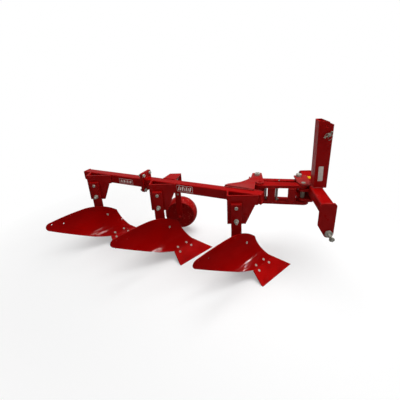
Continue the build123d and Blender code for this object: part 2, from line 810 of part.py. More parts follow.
# Tie rod between the near link's flats
with BuildPart() as tie_rod:
    with BuildSketch(link_plane(near_rear, link_foot_z + link_flat)):
        with Locations((tie_rod_station, tie_rod_across)):
            Circle(tie_rod_d / 2)
    extrude(amount=link_top_z - link_foot_z - 2 * link_flat)
export(tie_rod.part, "near_link_tie_rod")

# Far link: a bar with a bush at each end that fills the space between the pivot plates
far_bush_table = (
    # station along the link, foot height
    (0.0, lower_gusset_top + link_clearance),
    (link_length, lower_head_z + head_plate + link_clearance),
)
with BuildPart() as far_link:
    with BuildSketch(link_plane(far_rear, beam_top_z - far_link_drop - far_link_height)):
        with Locations((link_length / 2, 0)):
            SlotCenterToCenter(link_length, far_link_width)
    extrude(amount=far_link_height)
    for bush_station, bush_foot_z in far_bush_table:
        with BuildSketch(link_plane(far_rear, bush_foot_z)):
            with Locations((bush_station, 0)):
                Circle(far_bush_d / 2)
        extrude(amount=link_top_z - bush_foot_z)
    with BuildSketch(link_plane(far_rear, link_foot_z)):
        with Locations((0, 0), (link_length, 0)):
            Circle(link_hole_r)
    extrude(amount=near_link_drop, mode=Mode.SUBTRACT)
export(far_link.part, "far_link")

# Pivot plates on the beam: the upper one lies on it, the lower one hangs on an upright web
web_x, web_y = beam_point(gusset_web_start, beam_size)
web_dir_x = datum_x + gusset_web_end[0] - web_x
web_dir_y = datum_y + gusset_web_end[1] - web_y
web_length = sqrt(web_dir_x ** 2 + web_dir_y ** 2)
web_dir = (web_dir_x / web_length, web_dir_y / web_length)
web_plane = Plane(
    origin=(web_x + web_dir[1] * gusset_web / 2, web_y - web_dir[0] * gusset_web / 2, 0),
    x_dir=(web_dir[0], web_dir[1], 0),
    z_dir=(web_dir[1], -web_dir[0], 0),
)
with BuildPart() as beam_gussets:
    with BuildSketch(Plane.XY.offset(beam_top_z)):
        polygon((
            beam_point(gusset_tip, beam_size),
            *((datum_x + sweep_x, datum_y + sweep_y) for sweep_x, sweep_y in gusset_sweep),
            (far_rear[0] - gusset_far_left, far_rear[1] + gusset_far_margin),
            (far_rear[0] + gusset_far_right, far_rear[1] + gusset_far_margin),
            (near_rear[0] + upper_lobe_r, near_rear[1]),
            (near_rear[0] - upper_lobe_r, near_rear[1]),
            beam_point(gusset_front, beam_size - gusset_lap),
        ))
        with Locations(near_rear):
            Circle(upper_lobe_r)
        with Locations(far_rear, near_rear):
            Circle(pivot_pin_d / 2, mode=Mode.SUBTRACT)
    extrude(amount=upper_plate)
    with BuildSketch(Plane.XY.offset(lower_gusset_top)):
        polygon((
            (datum_x + lower_gusset_left_x, datum_y + lower_gusset_near_y),
            (near_rear[0], near_rear[1] - lower_near_eye_r),
            (near_rear[0] + lower_near_eye_r, near_rear[1]),
            (far_rear[0] + lower_far_eye_r, far_rear[1]),
            (far_rear[0], far_rear[1] + lower_far_eye_r),
            (datum_x + lower_gusset_left_x, datum_y + lower_gusset_far_y),
        ))
        with Locations(far_rear):
            Circle(lower_far_eye_r)
        with Locations(near_rear):
            Circle(lower_near_eye_r)
        with Locations(far_rear, near_rear):
            Circle(pivot_pin_d / 2, mode=Mode.SUBTRACT)
    extrude(amount=-lower_gusset_plate)
    with BuildSketch(web_plane):
        polygon((
            (-gusset_web_root, beam_bottom_z),
            (gusset_web_slope, lower_gusset_top),
            (web_length, lower_gusset_top),
            (web_length, beam_top_z),
            (-gusset_web_root, beam_top_z),
        ))
    extrude(amount=-gusset_web)
    with BuildPart(mode=Mode.PRIVATE) as beam_space:
        with BuildSketch(beam_plane(0)):
            Rectangle(beam_size, beam_size)
        extrude(amount=front_beam_length)
    add(beam_space.part, mode=Mode.SUBTRACT)
export(beam_gussets.part, "beam_gussets")

# Pivot plates on the headstock: one on the crossbar, one behind it, one on a web below it
head_x = datum_x + crossbar_rear_x
head_front_x = head_x + lower_head_reach
head_far_y = far_front[1] + lower_far_eye_r
with BuildPart() as upper_head_plate:
    with BuildSketch(Plane.XY.offset(beam_top_z)):
        polygon((
            (near_front[0], near_front[1] - upper_lobe_r),
            (head_x + head_upper_lap, near_front[1] - upper_lobe_r),
            (head_x + head_upper_lap, far_front[1] + head_far_margin),
            (datum_x + head_upper_rear_x, far_front[1] + head_far_margin),
            (datum_x + head_upper_rear_x, datum_y + head_upper_near_y),
            (near_front[0] - upper_lobe_r, near_front[1]),
        ))
        with Locations(near_front):
            Circle(upper_lobe_r)
        with Locations(near_front, far_front):
            Circle(pivot_pin_d / 2, mode=Mode.SUBTRACT)
    extrude(amount=upper_plate)
export(upper_head_plate.part, "upper_head_plate")

with BuildPart() as middle_head_plate:
    with BuildSketch(Plane.XY.offset(beam_top_z - middle_head_drop)):
        polygon((
            (near_front[0], near_front[1] - head_eye_r),
            (head_x, near_front[1] - head_eye_r),
            (head_x, near_front[1] + head_eye_r),
            (near_front[0], near_front[1] + head_eye_r),
        ))
        with Locations(near_front):
            Circle(head_eye_r)
            Circle(pivot_pin_d / 2, mode=Mode.SUBTRACT)
    extrude(amount=head_plate)
export(middle_head_plate.part, "middle_head_plate")

with BuildPart() as lower_head_plate:
    with BuildSketch(Plane.XY.offset(lower_head_z)):
        polygon((
            (near_front[0], near_front[1] - head_eye_r),
            (head_x, near_front[1] - lower_head_near),
            (head_front_x, near_front[1] - lower_head_near),
            (head_front_x, head_far_y),
            (far_front[0], head_far_y),
            (far_front[0] - lower_far_eye_r, far_front[1]),
            (near_front[0] - head_eye_r, near_front[1]),
        ))
        with Locations(near_front):
            Circle(head_eye_r)
        with Locations(far_front):
            Circle(lower_far_eye_r)
        with Locations(near_front, far_front):
            Circle(pivot_pin_d / 2, mode=Mode.SUBTRACT)
    extrude(amount=head_plate)
    with BuildSketch(Plane.XY.offset(lower_head_z + head_plate)):
        polygon((
            (head_front_x - head_web, near_front[1] - lower_head_near),
            (head_front_x, near_front[1] - lower_head_near),
            (head_front_x, head_far_y),
            (head_front_x - head_web, head_far_y),
        ))
    extrude(amount=cross_top_z - crossbar_height - lower_head_z - head_plate)
export(lower_head_plate.part, "lower_head_plate")

# Pivot pins: the near ones end just above their plates, the far ones have round heads
gusset_foot_z = lower_gusset_top - lower_gusset_plate
pin_table = (
    # name, place, foot height, top radius, top height above the plate
    ("near_rear_pivot_pin", near_rear, gusset_foot_z, pivot_pin_d / 2, pivot_stand_proud),
    ("near_front_pivot_pin", near_front, link_foot_z, pivot_pin_d / 2, pivot_stand_proud),
    ("far_rear_pivot_pin", far_rear, gusset_foot_z, pivot_head_d / 2, pivot_head),
    ("far_front_pivot_pin", far_front, lower_head_z, pivot_head_d / 2, pivot_head),
)
for pin_name, pin_place, pin_seat_z, pin_top_r, pin_top in pin_table:
    with BuildPart() as pivot_pin:
        with BuildSketch(Plane.XY.offset(pin_seat_z - pivot_foot)):
            with Locations(pin_place):
                Circle(pivot_pin_d / 2)
        extrude(amount=beam_top_z + upper_plate - pin_seat_z + pivot_foot)
        with BuildSketch(Plane.XY.offset(beam_top_z + upper_plate)):
            with Locations(pin_place):
                Circle(pin_top_r)
        extrude(amount=pin_top)
    export(pivot_pin.part, pin_name)
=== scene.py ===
import json
import math

import bmesh
import bpy
from mathutils import Matrix, Vector
from mathutils.bvhtree import BVHTree


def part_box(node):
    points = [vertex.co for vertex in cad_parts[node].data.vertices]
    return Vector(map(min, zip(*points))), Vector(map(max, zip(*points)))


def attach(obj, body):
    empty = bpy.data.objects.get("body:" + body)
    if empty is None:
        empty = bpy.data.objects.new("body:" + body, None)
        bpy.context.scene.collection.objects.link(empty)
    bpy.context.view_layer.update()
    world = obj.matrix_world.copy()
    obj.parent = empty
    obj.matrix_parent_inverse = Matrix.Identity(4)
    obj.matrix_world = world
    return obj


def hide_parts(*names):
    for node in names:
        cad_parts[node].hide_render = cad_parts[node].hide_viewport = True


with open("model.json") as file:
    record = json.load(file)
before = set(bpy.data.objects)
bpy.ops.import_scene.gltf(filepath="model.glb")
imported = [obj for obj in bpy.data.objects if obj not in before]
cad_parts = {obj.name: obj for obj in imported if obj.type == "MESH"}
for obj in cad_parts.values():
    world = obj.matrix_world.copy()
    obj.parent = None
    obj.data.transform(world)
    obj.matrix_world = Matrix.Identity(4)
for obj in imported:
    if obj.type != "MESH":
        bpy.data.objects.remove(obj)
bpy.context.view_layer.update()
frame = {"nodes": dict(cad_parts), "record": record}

NODES = frame["nodes"]
FLOOR_Z = 0.0
MM = 0.001

# Photograph's frame and the camera that took it, in metres from the front leg's place on the floor
IMAGE_SIZE = 400.0
FOCAL_PIXELS = 306.18
CENTRE_PIXEL = (200.55, 199.8)
SENSOR_WIDTH = 36.0
CAMERA_OFFSET = Vector((-0.0578, -2.0575, 1.5807))
CAMERA_YAW = math.radians(-5.728)
CAMERA_PITCH = math.radians(24.808)
CAMERA_ROLL = math.radians(-3.362)

# Near face of the legs, in millimetres from each leg's place
LEG_FACE = 8.0

leg_low, leg_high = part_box("front_leg")
DATUM = Vector(((leg_low.x + leg_high.x) / 2, leg_low.y - LEG_FACE * MM, FLOOR_Z))

# Bodies and beam, in millimetres from the front leg's place
BODY_NAMES = ("front", "middle", "rear")
BODY_SPACING, FURROW = 656.0, 256.0
BODY_STEP = Vector((-BODY_SPACING, FURROW, 0.0))
BACK = BODY_STEP.normalized()
ACROSS = Vector((BACK.y, -BACK.x, 0.0))
BEAM_CORNER = Vector((184.0, 36.0, 0.0))
BEAM_LOW, BEAM_SIZE = 558.0, 80.0
BEAM_TOP = BEAM_LOW + BEAM_SIZE
BEAM_LENGTH = 1759.0
JOINT = 1060.0
PLATE = 12.0

UP = Vector((0.0, 0.0, 1.0))
FORWARD = Vector((1.0, 0.0, 0.0))
LEFT = Vector((0.0, 1.0, 0.0))

# Colours, linear
RED = (0.345, 0.0012, 0.0011, 1.0)
# Painted light: a lighter red for the shares, standing in for the light that falls on their upturned faces
RED_PAINTED_LIGHT = (0.48, 0.0014, 0.0013, 1.0)
RED_DEEP = (0.30, 0.0008, 0.0008, 1.0)
# Painted sheen: a paler, whitish red that stands in for the light reflected from the tops of the gussets and
# head plates
RED_PAINTED_SHEEN = (0.31, 0.030, 0.028, 1.0)
RED_EDGE = (0.55, 0.09, 0.075, 1.0)
ZINC_BRIGHT = (0.62, 0.60, 0.53, 1.0)
ZINC_DULL = (0.34, 0.33, 0.27, 1.0)
OLD_ZINC_BRIGHT = (0.40, 0.37, 0.29, 1.0)
OLD_ZINC_DULL = (0.20, 0.17, 0.12, 1.0)
STEEL_EDGE = (0.80, 0.79, 0.75, 1.0)
LABEL_WHITE = (0.70, 0.64, 0.57, 1.0)
LABEL_WHITE_DIRTY = (0.44, 0.40, 0.36, 1.0)
LABEL_YELLOW = (0.62, 0.40, 0.005, 1.0)
LABEL_YELLOW_DIRTY = (0.45, 0.28, 0.01, 1.0)
DECAL_PALE = (0.95, 0.84, 0.78, 1.0)
DECAL_DIRTY = (0.80, 0.66, 0.60, 1.0)


# Materials

# The rounded normal's dot product with the true one, on open faces and along edges
EDGE_BAND = (0.995, 0.90)
EDGE_SAMPLES = 6


def new_material(name):
    material = bpy.data.materials.new(name)
    material.use_nodes = True
    tree = material.node_tree
    shader = tree.nodes["Principled BSDF"]
    return material, tree, shader


def object_noise(tree, scale, detail=4.0, roughness=0.55):
    """Noise laid out in the object's own metres."""
    coordinates = tree.nodes.new("ShaderNodeTexCoord")
    noise = tree.nodes.new("ShaderNodeTexNoise")
    noise.inputs["Scale"].default_value = scale
    noise.inputs["Detail"].default_value = detail
    noise.inputs["Roughness"].default_value = roughness
    tree.links.new(coordinates.outputs["Object"], noise.inputs["Vector"])
    return noise.outputs["Fac"]


def remap(tree, value, span, result=(0.0, 1.0)):
    """The value with its span stretched over the result's, and held at both ends."""
    node = tree.nodes.new("ShaderNodeMapRange")
    node.inputs["From Min"].default_value, node.inputs["From Max"].default_value = span
    node.inputs["To Min"].default_value, node.inputs["To Max"].default_value = result
    tree.links.new(value, node.inputs["Value"])
    return node.outputs["Result"]


def combine(tree, operation, first, second):
    node = tree.nodes.new("ShaderNodeMath")
    node.operation = operation
    tree.links.new(first, node.inputs[0])
    tree.links.new(second, node.inputs[1])
    return node.outputs["Value"]


def blend_colours(tree, factor, first, second):
    node = tree.nodes.new("ShaderNodeMix")
    node.data_type = "RGBA"
    tree.links.new(factor, node.inputs["Factor"])
    for socket, colour in (("A", first), ("B", second)):
        target = next(s for s in node.inputs if s.name == socket and s.type == "RGBA")
        if isinstance(colour, tuple):
            target.default_value = colour
        else:
            tree.links.new(colour, target)
    return next(s for s in node.outputs if s.type == "RGBA")


def edge_mask(tree, radius):
    """1 along edges and 0 on open faces, with the rounded normal that gives it."""
    bevel = tree.nodes.new("ShaderNodeBevel")
    bevel.samples = EDGE_SAMPLES
    bevel.inputs["Radius"].default_value = radius
    geometry = tree.nodes.new("ShaderNodeNewGeometry")
    dot = tree.nodes.new("ShaderNodeVectorMath")
    dot.operation = "DOT_PRODUCT"
    tree.links.new(bevel.outputs["Normal"], dot.inputs[0])
    tree.links.new(geometry.outputs["Normal"], dot.inputs[1])
    return remap(tree, dot.outputs["Value"], EDGE_BAND), bevel.outputs["Normal"]


def add_bump(tree, shader, height, strength, distance, normal=None):
    bump = tree.nodes.new("ShaderNodeBump")
    bump.inputs["Strength"].default_value = strength
    bump.inputs["Distance"].default_value = distance
    tree.links.new(height, bump.inputs["Height"])
    if normal is not None:
        tree.links.new(normal, bump.inputs["Normal"])
    tree.links.new(bump.outputs["Normal"], shader.inputs["Normal"])


def enamel(name, base, deep, gloss, specular, wear, peel, scuffs=0.0):
    """Red enamel: cloudy colour, orange peel, uneven gloss and thin paint along the edges."""
    material, tree, shader = new_material(name)
    clouds = remap(tree, object_noise(tree, scale=7.0), (0.35, 0.65))
    colour = blend_colours(tree, clouds, base, deep)
    edges, rounded = edge_mask(tree, radius=0.0035)
    patches = remap(tree, object_noise(tree, scale=55.0), (0.42, 0.62), (0.0, wear))
    worn = combine(tree, "MULTIPLY", edges, patches)
    if scuffs:
        scratches = object_noise(tree, scale=34.0, detail=6.0, roughness=0.7)
        worn = combine(tree, "MAXIMUM", worn, remap(tree, scratches, (0.55, 0.64), (0.0, scuffs)))
    tree.links.new(blend_colours(tree, worn, colour, RED_EDGE), shader.inputs["Base Color"])
    roughness = remap(tree, object_noise(tree, scale=31.0), (0.3, 0.7), gloss)
    tree.links.new(roughness, shader.inputs["Roughness"])
    shader.inputs["Specular IOR Level"].default_value = specular
    fine = object_noise(tree, scale=380.0, detail=2.0)
    add_bump(tree, shader, fine, strength=peel, distance=0.0005, normal=rounded)
    return material


def zinc(name, bright, dull):
    """Zinc-plated steel: mottled, bright along its edges, with fine marks."""
    material, tree, shader = new_material(name)
    spots = remap(tree, object_noise(tree, scale=160.0), (0.35, 0.65))
    colour = blend_colours(tree, spots, bright, dull)
    edges, rounded = edge_mask(tree, radius=0.0012)
    tree.links.new(blend_colours(tree, edges, colour, STEEL_EDGE), shader.inputs["Base Color"])
    roughness = remap(tree, object_noise(tree, scale=90.0), (0.3, 0.7), (0.34, 0.55))
    tree.links.new(roughness, shader.inputs["Roughness"])
    shader.inputs["Metallic"].default_value = 0.25
    fine = object_noise(tree, scale=700.0, detail=2.0)
    add_bump(tree, shader, fine, strength=0.15, distance=0.0004, normal=rounded)
    return material


def sticker(name, colour, dirty):
    """Printed vinyl: nearly even, a little dirty, with a soft sheen."""
    material, tree, shader = new_material(name)
    dirt = remap(tree, object_noise(tree, scale=70.0), (0.45, 0.75), (0.0, 0.5))
    tree.links.new(blend_colours(tree, dirt, colour, dirty), shader.inputs["Base Color"])
    roughness = remap(tree, object_noise(tree, scale=40.0), (0.3, 0.7), (0.35, 0.55))
    tree.links.new(roughness, shader.inputs["Roughness"])
    shader.inputs["Specular IOR Level"].default_value = 0.3
    fine = object_noise(tree, scale=300.0, detail=2.0)
    add_bump(tree, shader, fine, strength=0.05, distance=0.0002)
    return material


RED_PAINT = enamel("red_paint", RED, RED_DEEP, gloss=(0.26, 0.40), specular=0.16, wear=0.5, peel=0.06)
# Gussets, head plates and their welds: a painted sheen in the base colour, paler than the beam's red
RED_PLATE = enamel("red_plate_painted_sheen", RED_PAINTED_SHEEN, RED, gloss=(0.30, 0.45), specular=0.3, wear=0.8, peel=0.06)
RED_GLOSS = enamel("red_gloss", RED, RED_DEEP, gloss=(0.05, 0.09), specular=0.36, wear=0.35, peel=0.004)
# Shares: a lighter base red, painted light for the light their upturned faces catch
RED_SHARE = enamel("red_share_painted_light", RED_PAINTED_LIGHT, RED, gloss=(0.12, 0.20), specular=0.34, wear=0.7, peel=0.01)
RED_WHEEL = enamel("red_wheel", RED, RED_DEEP, gloss=(0.26, 0.40), specular=0.16, wear=0.8, peel=0.06,
                   scuffs=0.7)
ZINC_STEEL = zinc("zinc_steel", ZINC_BRIGHT, ZINC_DULL)
ZINC_OLD = zinc("zinc_old", OLD_ZINC_BRIGHT, OLD_ZINC_DULL)
WHITE_VINYL = sticker("white_vinyl", LABEL_WHITE, LABEL_WHITE_DIRTY)
YELLOW_VINYL = sticker("yellow_vinyl", LABEL_YELLOW, LABEL_YELLOW_DIRTY)
DECAL_VINYL = sticker("decal_vinyl", DECAL_PALE, DECAL_DIRTY)
MATERIALS = {"red_paint": RED_PAINT, "red_gloss": RED_GLOSS, "zinc_steel": ZINC_STEEL}
SPECIAL = {"beam_gussets": RED_PLATE, "upper_head_plate": RED_PLATE,
           "near_rear_pivot_pin": RED_PAINT, "wheel_axle": RED_PAINT,
           "depth_wheel": RED_WHEEL, "near_front_pivot_pin": ZINC_OLD,
           **{f"{body_name}_share": RED_SHARE for body_name in BODY_NAMES}}

for subpart in frame["record"]["subparts"]:
    node = NODES[subpart["node"]]
    node.data.materials.clear()
    node.data.materials.append(
        SPECIAL.get(subpart["node"], MATERIALS[subpart["material_slot"]]))


# Shapes, in millimetres from the front leg's place

HEX_HALF_ANGLE = math.pi / 6
SHARP_ANGLE = math.radians(32.0)

# Welds: the radii in use, the ripples' height as a share of the radius, and their spacing
WELD_SMALL, WELD_PLAIN, WELD_WIDE, WELD_BROAD, WELD_HEAVY = 3.0, 4.0, 4.5, 5.0, 5.5
WELD_RIPPLE = 0.13
WELD_PITCH = 6.5
WELD_STEP = 1.6
WELD_END_SHARE = 0.5


def point(x, y, z=0.0):
    return Vector((x, y, z))


def on_beam(back, across, z):
    """Place so far back along the beam and so far across it, at a height."""
    place = BEAM_CORNER + BACK * back + ACROSS * across
    return Vector((place.x, place.y, z))


def body_point(index, x, y, z):
    """Place measured from a body's own leg."""
    return BODY_STEP * index + Vector((x, y, z))


def circle_path(centre, radius, first, second, steps, start=0.0, end=360.0):
    """Points on an arc from start to end in degrees, and on the whole circle without a doubled end."""
    span = math.radians(end - start)
    count = steps if end - start >= 360.0 else steps + 1
    angles = [math.radians(start) + span * step / steps for step in range(count)]
    return [centre + first * (radius * math.cos(a)) + second * (radius * math.sin(a)) for a in angles]


class Shape:
    """Closed solids that make one piece."""

    def __init__(self):
        self.points = []
        self.faces = []

    def add(self, points, faces):
        first = len(self.points)
        self.points.extend(points)
        self.faces.extend([[first + corner for corner in face] for face in faces])

    def skin(self, points, sides, levels, joined=False):
        """Faces over rings of points, with flat ends unless the last ring is joined to the first."""
        faces = []
        for level in range(levels if joined else levels - 1):
            above = (level + 1) % levels
            for step in range(sides):
                follow = (step + 1) % sides
                faces.append([level * sides + step, level * sides + follow,
                              above * sides + follow, above * sides + step])
        if not joined:
            faces.append(list(range(sides))[::-1])
            faces.append([(levels - 1) * sides + step for step in range(sides)])
        self.add(points, faces)

    def turned(self, origin, axis, rings, sides=36):
        """Stack of rings along the axis: (height, radius) or (height, radius, half across flats)."""
        axis = axis.normalized()
        side = axis.orthogonal().normalized()
        other = axis.cross(side)
        points = []
        for height, radius, *half_flats in rings:
            for step in range(sides):
                angle = math.tau * step / sides
                reach = radius
                if half_flats:
                    within = (angle + HEX_HALF_ANGLE) % (2 * HEX_HALF_ANGLE) - HEX_HALF_ANGLE
                    reach = min(radius, half_flats[0] / math.cos(within))
                points.append(origin + axis * height
                              + side * (reach * math.cos(angle)) + other * (reach * math.sin(angle)))
        self.skin(points, sides, len(rings))

    def tube(self, path, radius, sides=8, closed=False, ripple=0.0):
        """Round bar along a path, with the ripples of a weld where asked."""
        count = len(path)
        side = None
        points = []
        travelled = 0.0
        for index, place in enumerate(path):
            ahead = path[(index + 1) % count] if closed else path[min(index + 1, count - 1)]
            behind = path[index - 1] if closed or index else path[0]
            along = (ahead - behind).normalized()
            side = along.orthogonal() if side is None else side - along * side.dot(along)
            side.normalize()
            other = along.cross(side)
            travelled += (place - behind).length if index else 0.0
            reach = radius * (1.0 + ripple * math.sin(math.tau * travelled / WELD_PITCH))
            if not closed and ripple and index in (0, count - 1):
                reach *= WELD_END_SHARE
            for step in range(sides):
                angle = math.tau * step / sides
                points.append(place + side * (reach * math.cos(angle))
                              + other * (reach * math.sin(angle)))
        self.skin(points, sides, count, closed)

    def slab(self, outline, lift, rim=0.0):
        """Flat plate from an outline, with its upper rim drawn in a little."""
        middle = sum(outline, Vector()) / len(outline)
        points = [place.copy() for place in outline]
        if rim:
            points += [place + lift * (1.0 - rim / lift.length) for place in outline]
            points += [place + lift + (middle - place).normalized() * rim for place in outline]
        else:
            points += [place + lift for place in outline]
        self.skin(points, len(outline), len(points) // len(outline))

    def bead(self, corners, radius=WELD_WIDE, closed=False):
        """Weld bead along straight runs between corners."""
        path = []
        runs = len(corners) if closed else len(corners) - 1
        for index in range(runs):
            start, end = corners[index], corners[(index + 1) % len(corners)]
            steps = max(2, round((end - start).length / WELD_STEP))
            path.extend(start.lerp(end, step / steps) for step in range(steps))
        if not closed:
            path.append(corners[-1])
        self.tube(path, radius, closed=closed, ripple=WELD_RIPPLE)

    def piece(self, name, material, body):
        """Turn the solids into one object that rides on a body."""
        mesh = bpy.data.meshes.new(name)
        mesh.from_pydata([DATUM + place * MM for place in self.points], [], self.faces)
        shape = bmesh.new()
        shape.from_mesh(mesh)
        bmesh.ops.recalc_face_normals(shape, faces=shape.faces)
        for face in shape.faces:
            face.smooth = True
        for edge in shape.edges:
            edge.smooth = edge.calc_face_angle(0.0) < SHARP_ANGLE
        shape.to_mesh(mesh)
        shape.free()
        mesh.materials.append(material)
        made = bpy.data.objects.new(name, mesh)
        bpy.context.collection.objects.link(made)
        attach(made, body)
        return made


# Nuts, bolt heads and studs, as rings; the shares are of the width across flats or of the radius

HEX_FOOT, HEX_TOP = 1.02, 0.97
FOOT_CHAMFER, TOP_CHAMFER = 0.045, 0.05
WASHER_THICK, WASHER_EDGE = 3.0, 0.5
STUD_BEVEL, STUD_TIP = 0.25, 0.7


def hexagon(flats, height, base=0.0):
    """Rings of a nut or bolt head, chamfered at both ends."""
    half = flats / 2
    corner = half / math.cos(HEX_HALF_ANGLE)
    return [(base, half * HEX_FOOT, half), (base + flats * FOOT_CHAMFER, corner, half),
            (base + height - flats * TOP_CHAMFER, corner, half), (base + height, half * HEX_TOP, half)]


def washer(radius):
    """Rings of a washer with its rims taken off."""
    return [(0.0, radius - WASHER_EDGE), (WASHER_EDGE, radius), (WASHER_THICK - WASHER_EDGE, radius),
            (WASHER_THICK, radius - WASHER_EDGE)]


def stud(radius, start, end):
    """Rings of a bolt's bevelled end."""
    return [(start, radius), (end - radius * STUD_BEVEL, radius), (end, radius * STUD_TIP)]


def head_rings(flats, height, washer_radius=0.0):
    """Bolt head, on a washer where asked."""
    if not washer_radius:
        return hexagon(flats, height)
    return washer(washer_radius) + hexagon(flats, height, WASHER_THICK)


def nut_rings(flats, height, washer_radius, shank, proud):
    """Washer, nut and the bolt's end standing out of it."""
    top = WASHER_THICK + height
    return washer(washer_radius) + hexagon(flats, height, WASHER_THICK) + stud(shank, top, top + proud)


UPPER_LEG_HEAD = head_rings(flats=24.0, height=12.0)
UPPER_LEG_NUT = nut_rings(flats=26.0, height=14.0, washer_radius=17.0, shank=8.5, proud=9.0)
LOWER_LEG_HEAD = head_rings(flats=30.0, height=13.0, washer_radius=19.0)
LOWER_LEG_NUT = nut_rings(flats=30.0, height=16.0, washer_radius=19.0, shank=9.5, proud=26.0)
PLOUGH_NUT = nut_rings(flats=17.0, height=9.0, washer_radius=12.0, shank=5.0, proud=5.0)
FLANGE_HEAD = head_rings(flats=24.0, height=10.0, washer_radius=14.5)
FLANGE_NUT = nut_rings(flats=24.0, height=13.0, washer_radius=14.5, shank=8.0, proud=9.0)
ARM_HEAD = head_rings(flats=24.0, height=10.0, washer_radius=14.0)
ARM_NUT = nut_rings(flats=24.0, height=13.0, washer_radius=14.0, shank=8.0, proud=8.0)
AXLE_NUT = nut_rings(flats=34.0, height=12.0, washer_radius=22.0, shank=12.0, proud=7.0)
PIVOT_NUT = hexagon(flats=44.0, height=20.0) + stud(radius=13.0, start=20.0, end=26.0)
PIVOT_CAP = [(0.0, 15.0), (2.0, 14.6), (2.6, 13.6)]
TIE_ROD_NUT = hexagon(flats=30.0, height=13.0)
TIE_ROD_HEAD = head_rings(flats=30.0, height=6.0)
HITCH_NUT = hexagon(flats=47.5, height=18.4)


# Legs and their brackets

BRACKET_INNER = 45.0
BRACKET_MIDDLE = BRACKET_INNER - PLATE / 2
BRACKET_LOW = 400.0
FOLD_X = -69.0
FOLD_Y = BEAM_CORNER.y + (BEAM_CORNER.x - FOLD_X) * FURROW / BODY_SPACING
SIDE_FRONT_X = BEAM_CORNER.x - (BRACKET_INNER - BEAM_CORNER.y) * BODY_SPACING / FURROW
UPPER_BOLT_Z, LOWER_BOLT_Z = 545.0, 434.0

# Upright runs of weld on a bracket: x, y, lower end, upper end, radius
BRACKET_RUNS = (
    (FOLD_X, FOLD_Y, BEAM_LOW, BEAM_TOP, WELD_WIDE),
    (SIDE_FRONT_X, BRACKET_MIDDLE, BEAM_LOW + 2.0, BEAM_TOP - 2.0, WELD_PLAIN),
    (FOLD_X + PLATE, BRACKET_INNER, BRACKET_LOW, BEAM_TOP - 4.0, WELD_PLAIN),
)

for index, body_name in enumerate(BODY_NAMES):
    bolts = Shape()
    bolts.turned(body_point(index, 0.0, LEG_FACE, UPPER_BOLT_Z), -LEFT, UPPER_LEG_HEAD)
    bolts.turned(body_point(index, 0.0, LEG_FACE, LOWER_BOLT_Z), -LEFT, LOWER_LEG_NUT)
    bolts.turned(body_point(index, 0.0, BRACKET_INNER, UPPER_BOLT_Z), LEFT, UPPER_LEG_NUT)
    bolts.turned(body_point(index, 0.0, BRACKET_INNER, LOWER_BOLT_Z), LEFT, LOWER_LEG_HEAD)
    bolts.piece(f"{body_name}_leg_bolts", ZINC_STEEL, "plough_frame")

    welds = Shape()
    for x, y, low, high, radius in BRACKET_RUNS:
        welds.bead([body_point(index, x, y, low), body_point(index, x, y, high)], radius)
    welds.piece(f"{body_name}_bracket_welds", RED_PAINT, "plough_frame")


# Plough bolts, flush in mouldboards, shares and landsides, with nuts behind the first two

# The mouldboard is part of a cylinder: its axis follows the cutting edge's line, at this offset and height
SWEEP = math.radians(47.6)
EDGE_LINE = Vector((math.cos(SWEEP), math.sin(SWEEP), 0.0))
SECTION = Vector((-math.sin(SWEEP), math.cos(SWEEP), 0.0))
CURVE_OFFSET, CURVE_Z, CURVE_RADIUS = -327.0, 298.5, 269.0
SHARE_TOP_Z = 74.0
BOARD_BOLTS = ((216.5, 1.0, 89.0), (152.0, -75.0, 91.0), (84.5, -7.0, 251.0))
SHARE_BOLTS = ((259.0, -6.0, 64.0), (174.0, -108.0, 66.0))
LANDSIDE_BOLTS_X = (60.0, 160.0)
LANDSIDE_BOLT_Y, LANDSIDE_BOLT_Z = 70.5, 46.0
FLUSH_RADIUS, FLUSH_BEVEL = 10.0, 0.8
FLUSH_SUNK = 2.0
START_SUNK = 0.5
LOOK_BEHIND = 60.0
PAST_SURFACE = 0.05


def flush_head(rim, top):
    """Rings of a flush head, from its sunk foot to the bevel round its top."""
    return [(0.0, FLUSH_RADIUS), (rim, FLUSH_RADIUS), (top, FLUSH_RADIUS - FLUSH_BEVEL)]


def board_seat(place):
    """Nearest point of the mouldboard's working face, and the direction out of it."""
    along = place.dot(EDGE_LINE)
    offset, rise = place.dot(SECTION) - CURVE_OFFSET, place.z - CURVE_Z
    length = math.hypot(offset, rise)
    outward = SECTION * (-offset / length) + UP * (-rise / length)
    centre = EDGE_LINE * along + SECTION * CURVE_OFFSET + UP * CURVE_Z
    return centre - outward * CURVE_RADIUS, outward


def share_seat(place):
    """Nearest point of the share's top face, and the direction out of it."""
    angle = math.acos((CURVE_Z - SHARE_TOP_Z) / CURVE_RADIUS)
    joint = SECTION * (CURVE_OFFSET + CURVE_RADIUS * math.sin(angle)) + UP * SHARE_TOP_Z
    outward = SECTION * -math.sin(angle) + UP * math.cos(angle)
    return place - outward * (place - joint).dot(outward), outward


def surfaces_of(names):
    """One search tree over several nodes at rest."""
    points, faces = [], []
    for name in names:
        mesh = NODES[name].data
        first = len(points)
        points.extend(vertex.co.copy() for vertex in mesh.vertices)
        faces.extend([first + corner for corner in polygon.vertices] for polygon in mesh.polygons)
    return BVHTree.FromPolygons(points, faces)


def last_surface(surfaces, start, direction, reach):
    """Distance in millimetres from start to the last surface met within reach."""
    travelled, last = 0.0, 0.0
    while travelled < reach:
        origin = DATUM + (start + direction * travelled) * MM
        place, _, _, distance = surfaces.ray_cast(origin, direction, (reach - travelled) * MM)
        if place is None:
            break
        travelled += distance / MM + PAST_SURFACE
        last = travelled
    return last


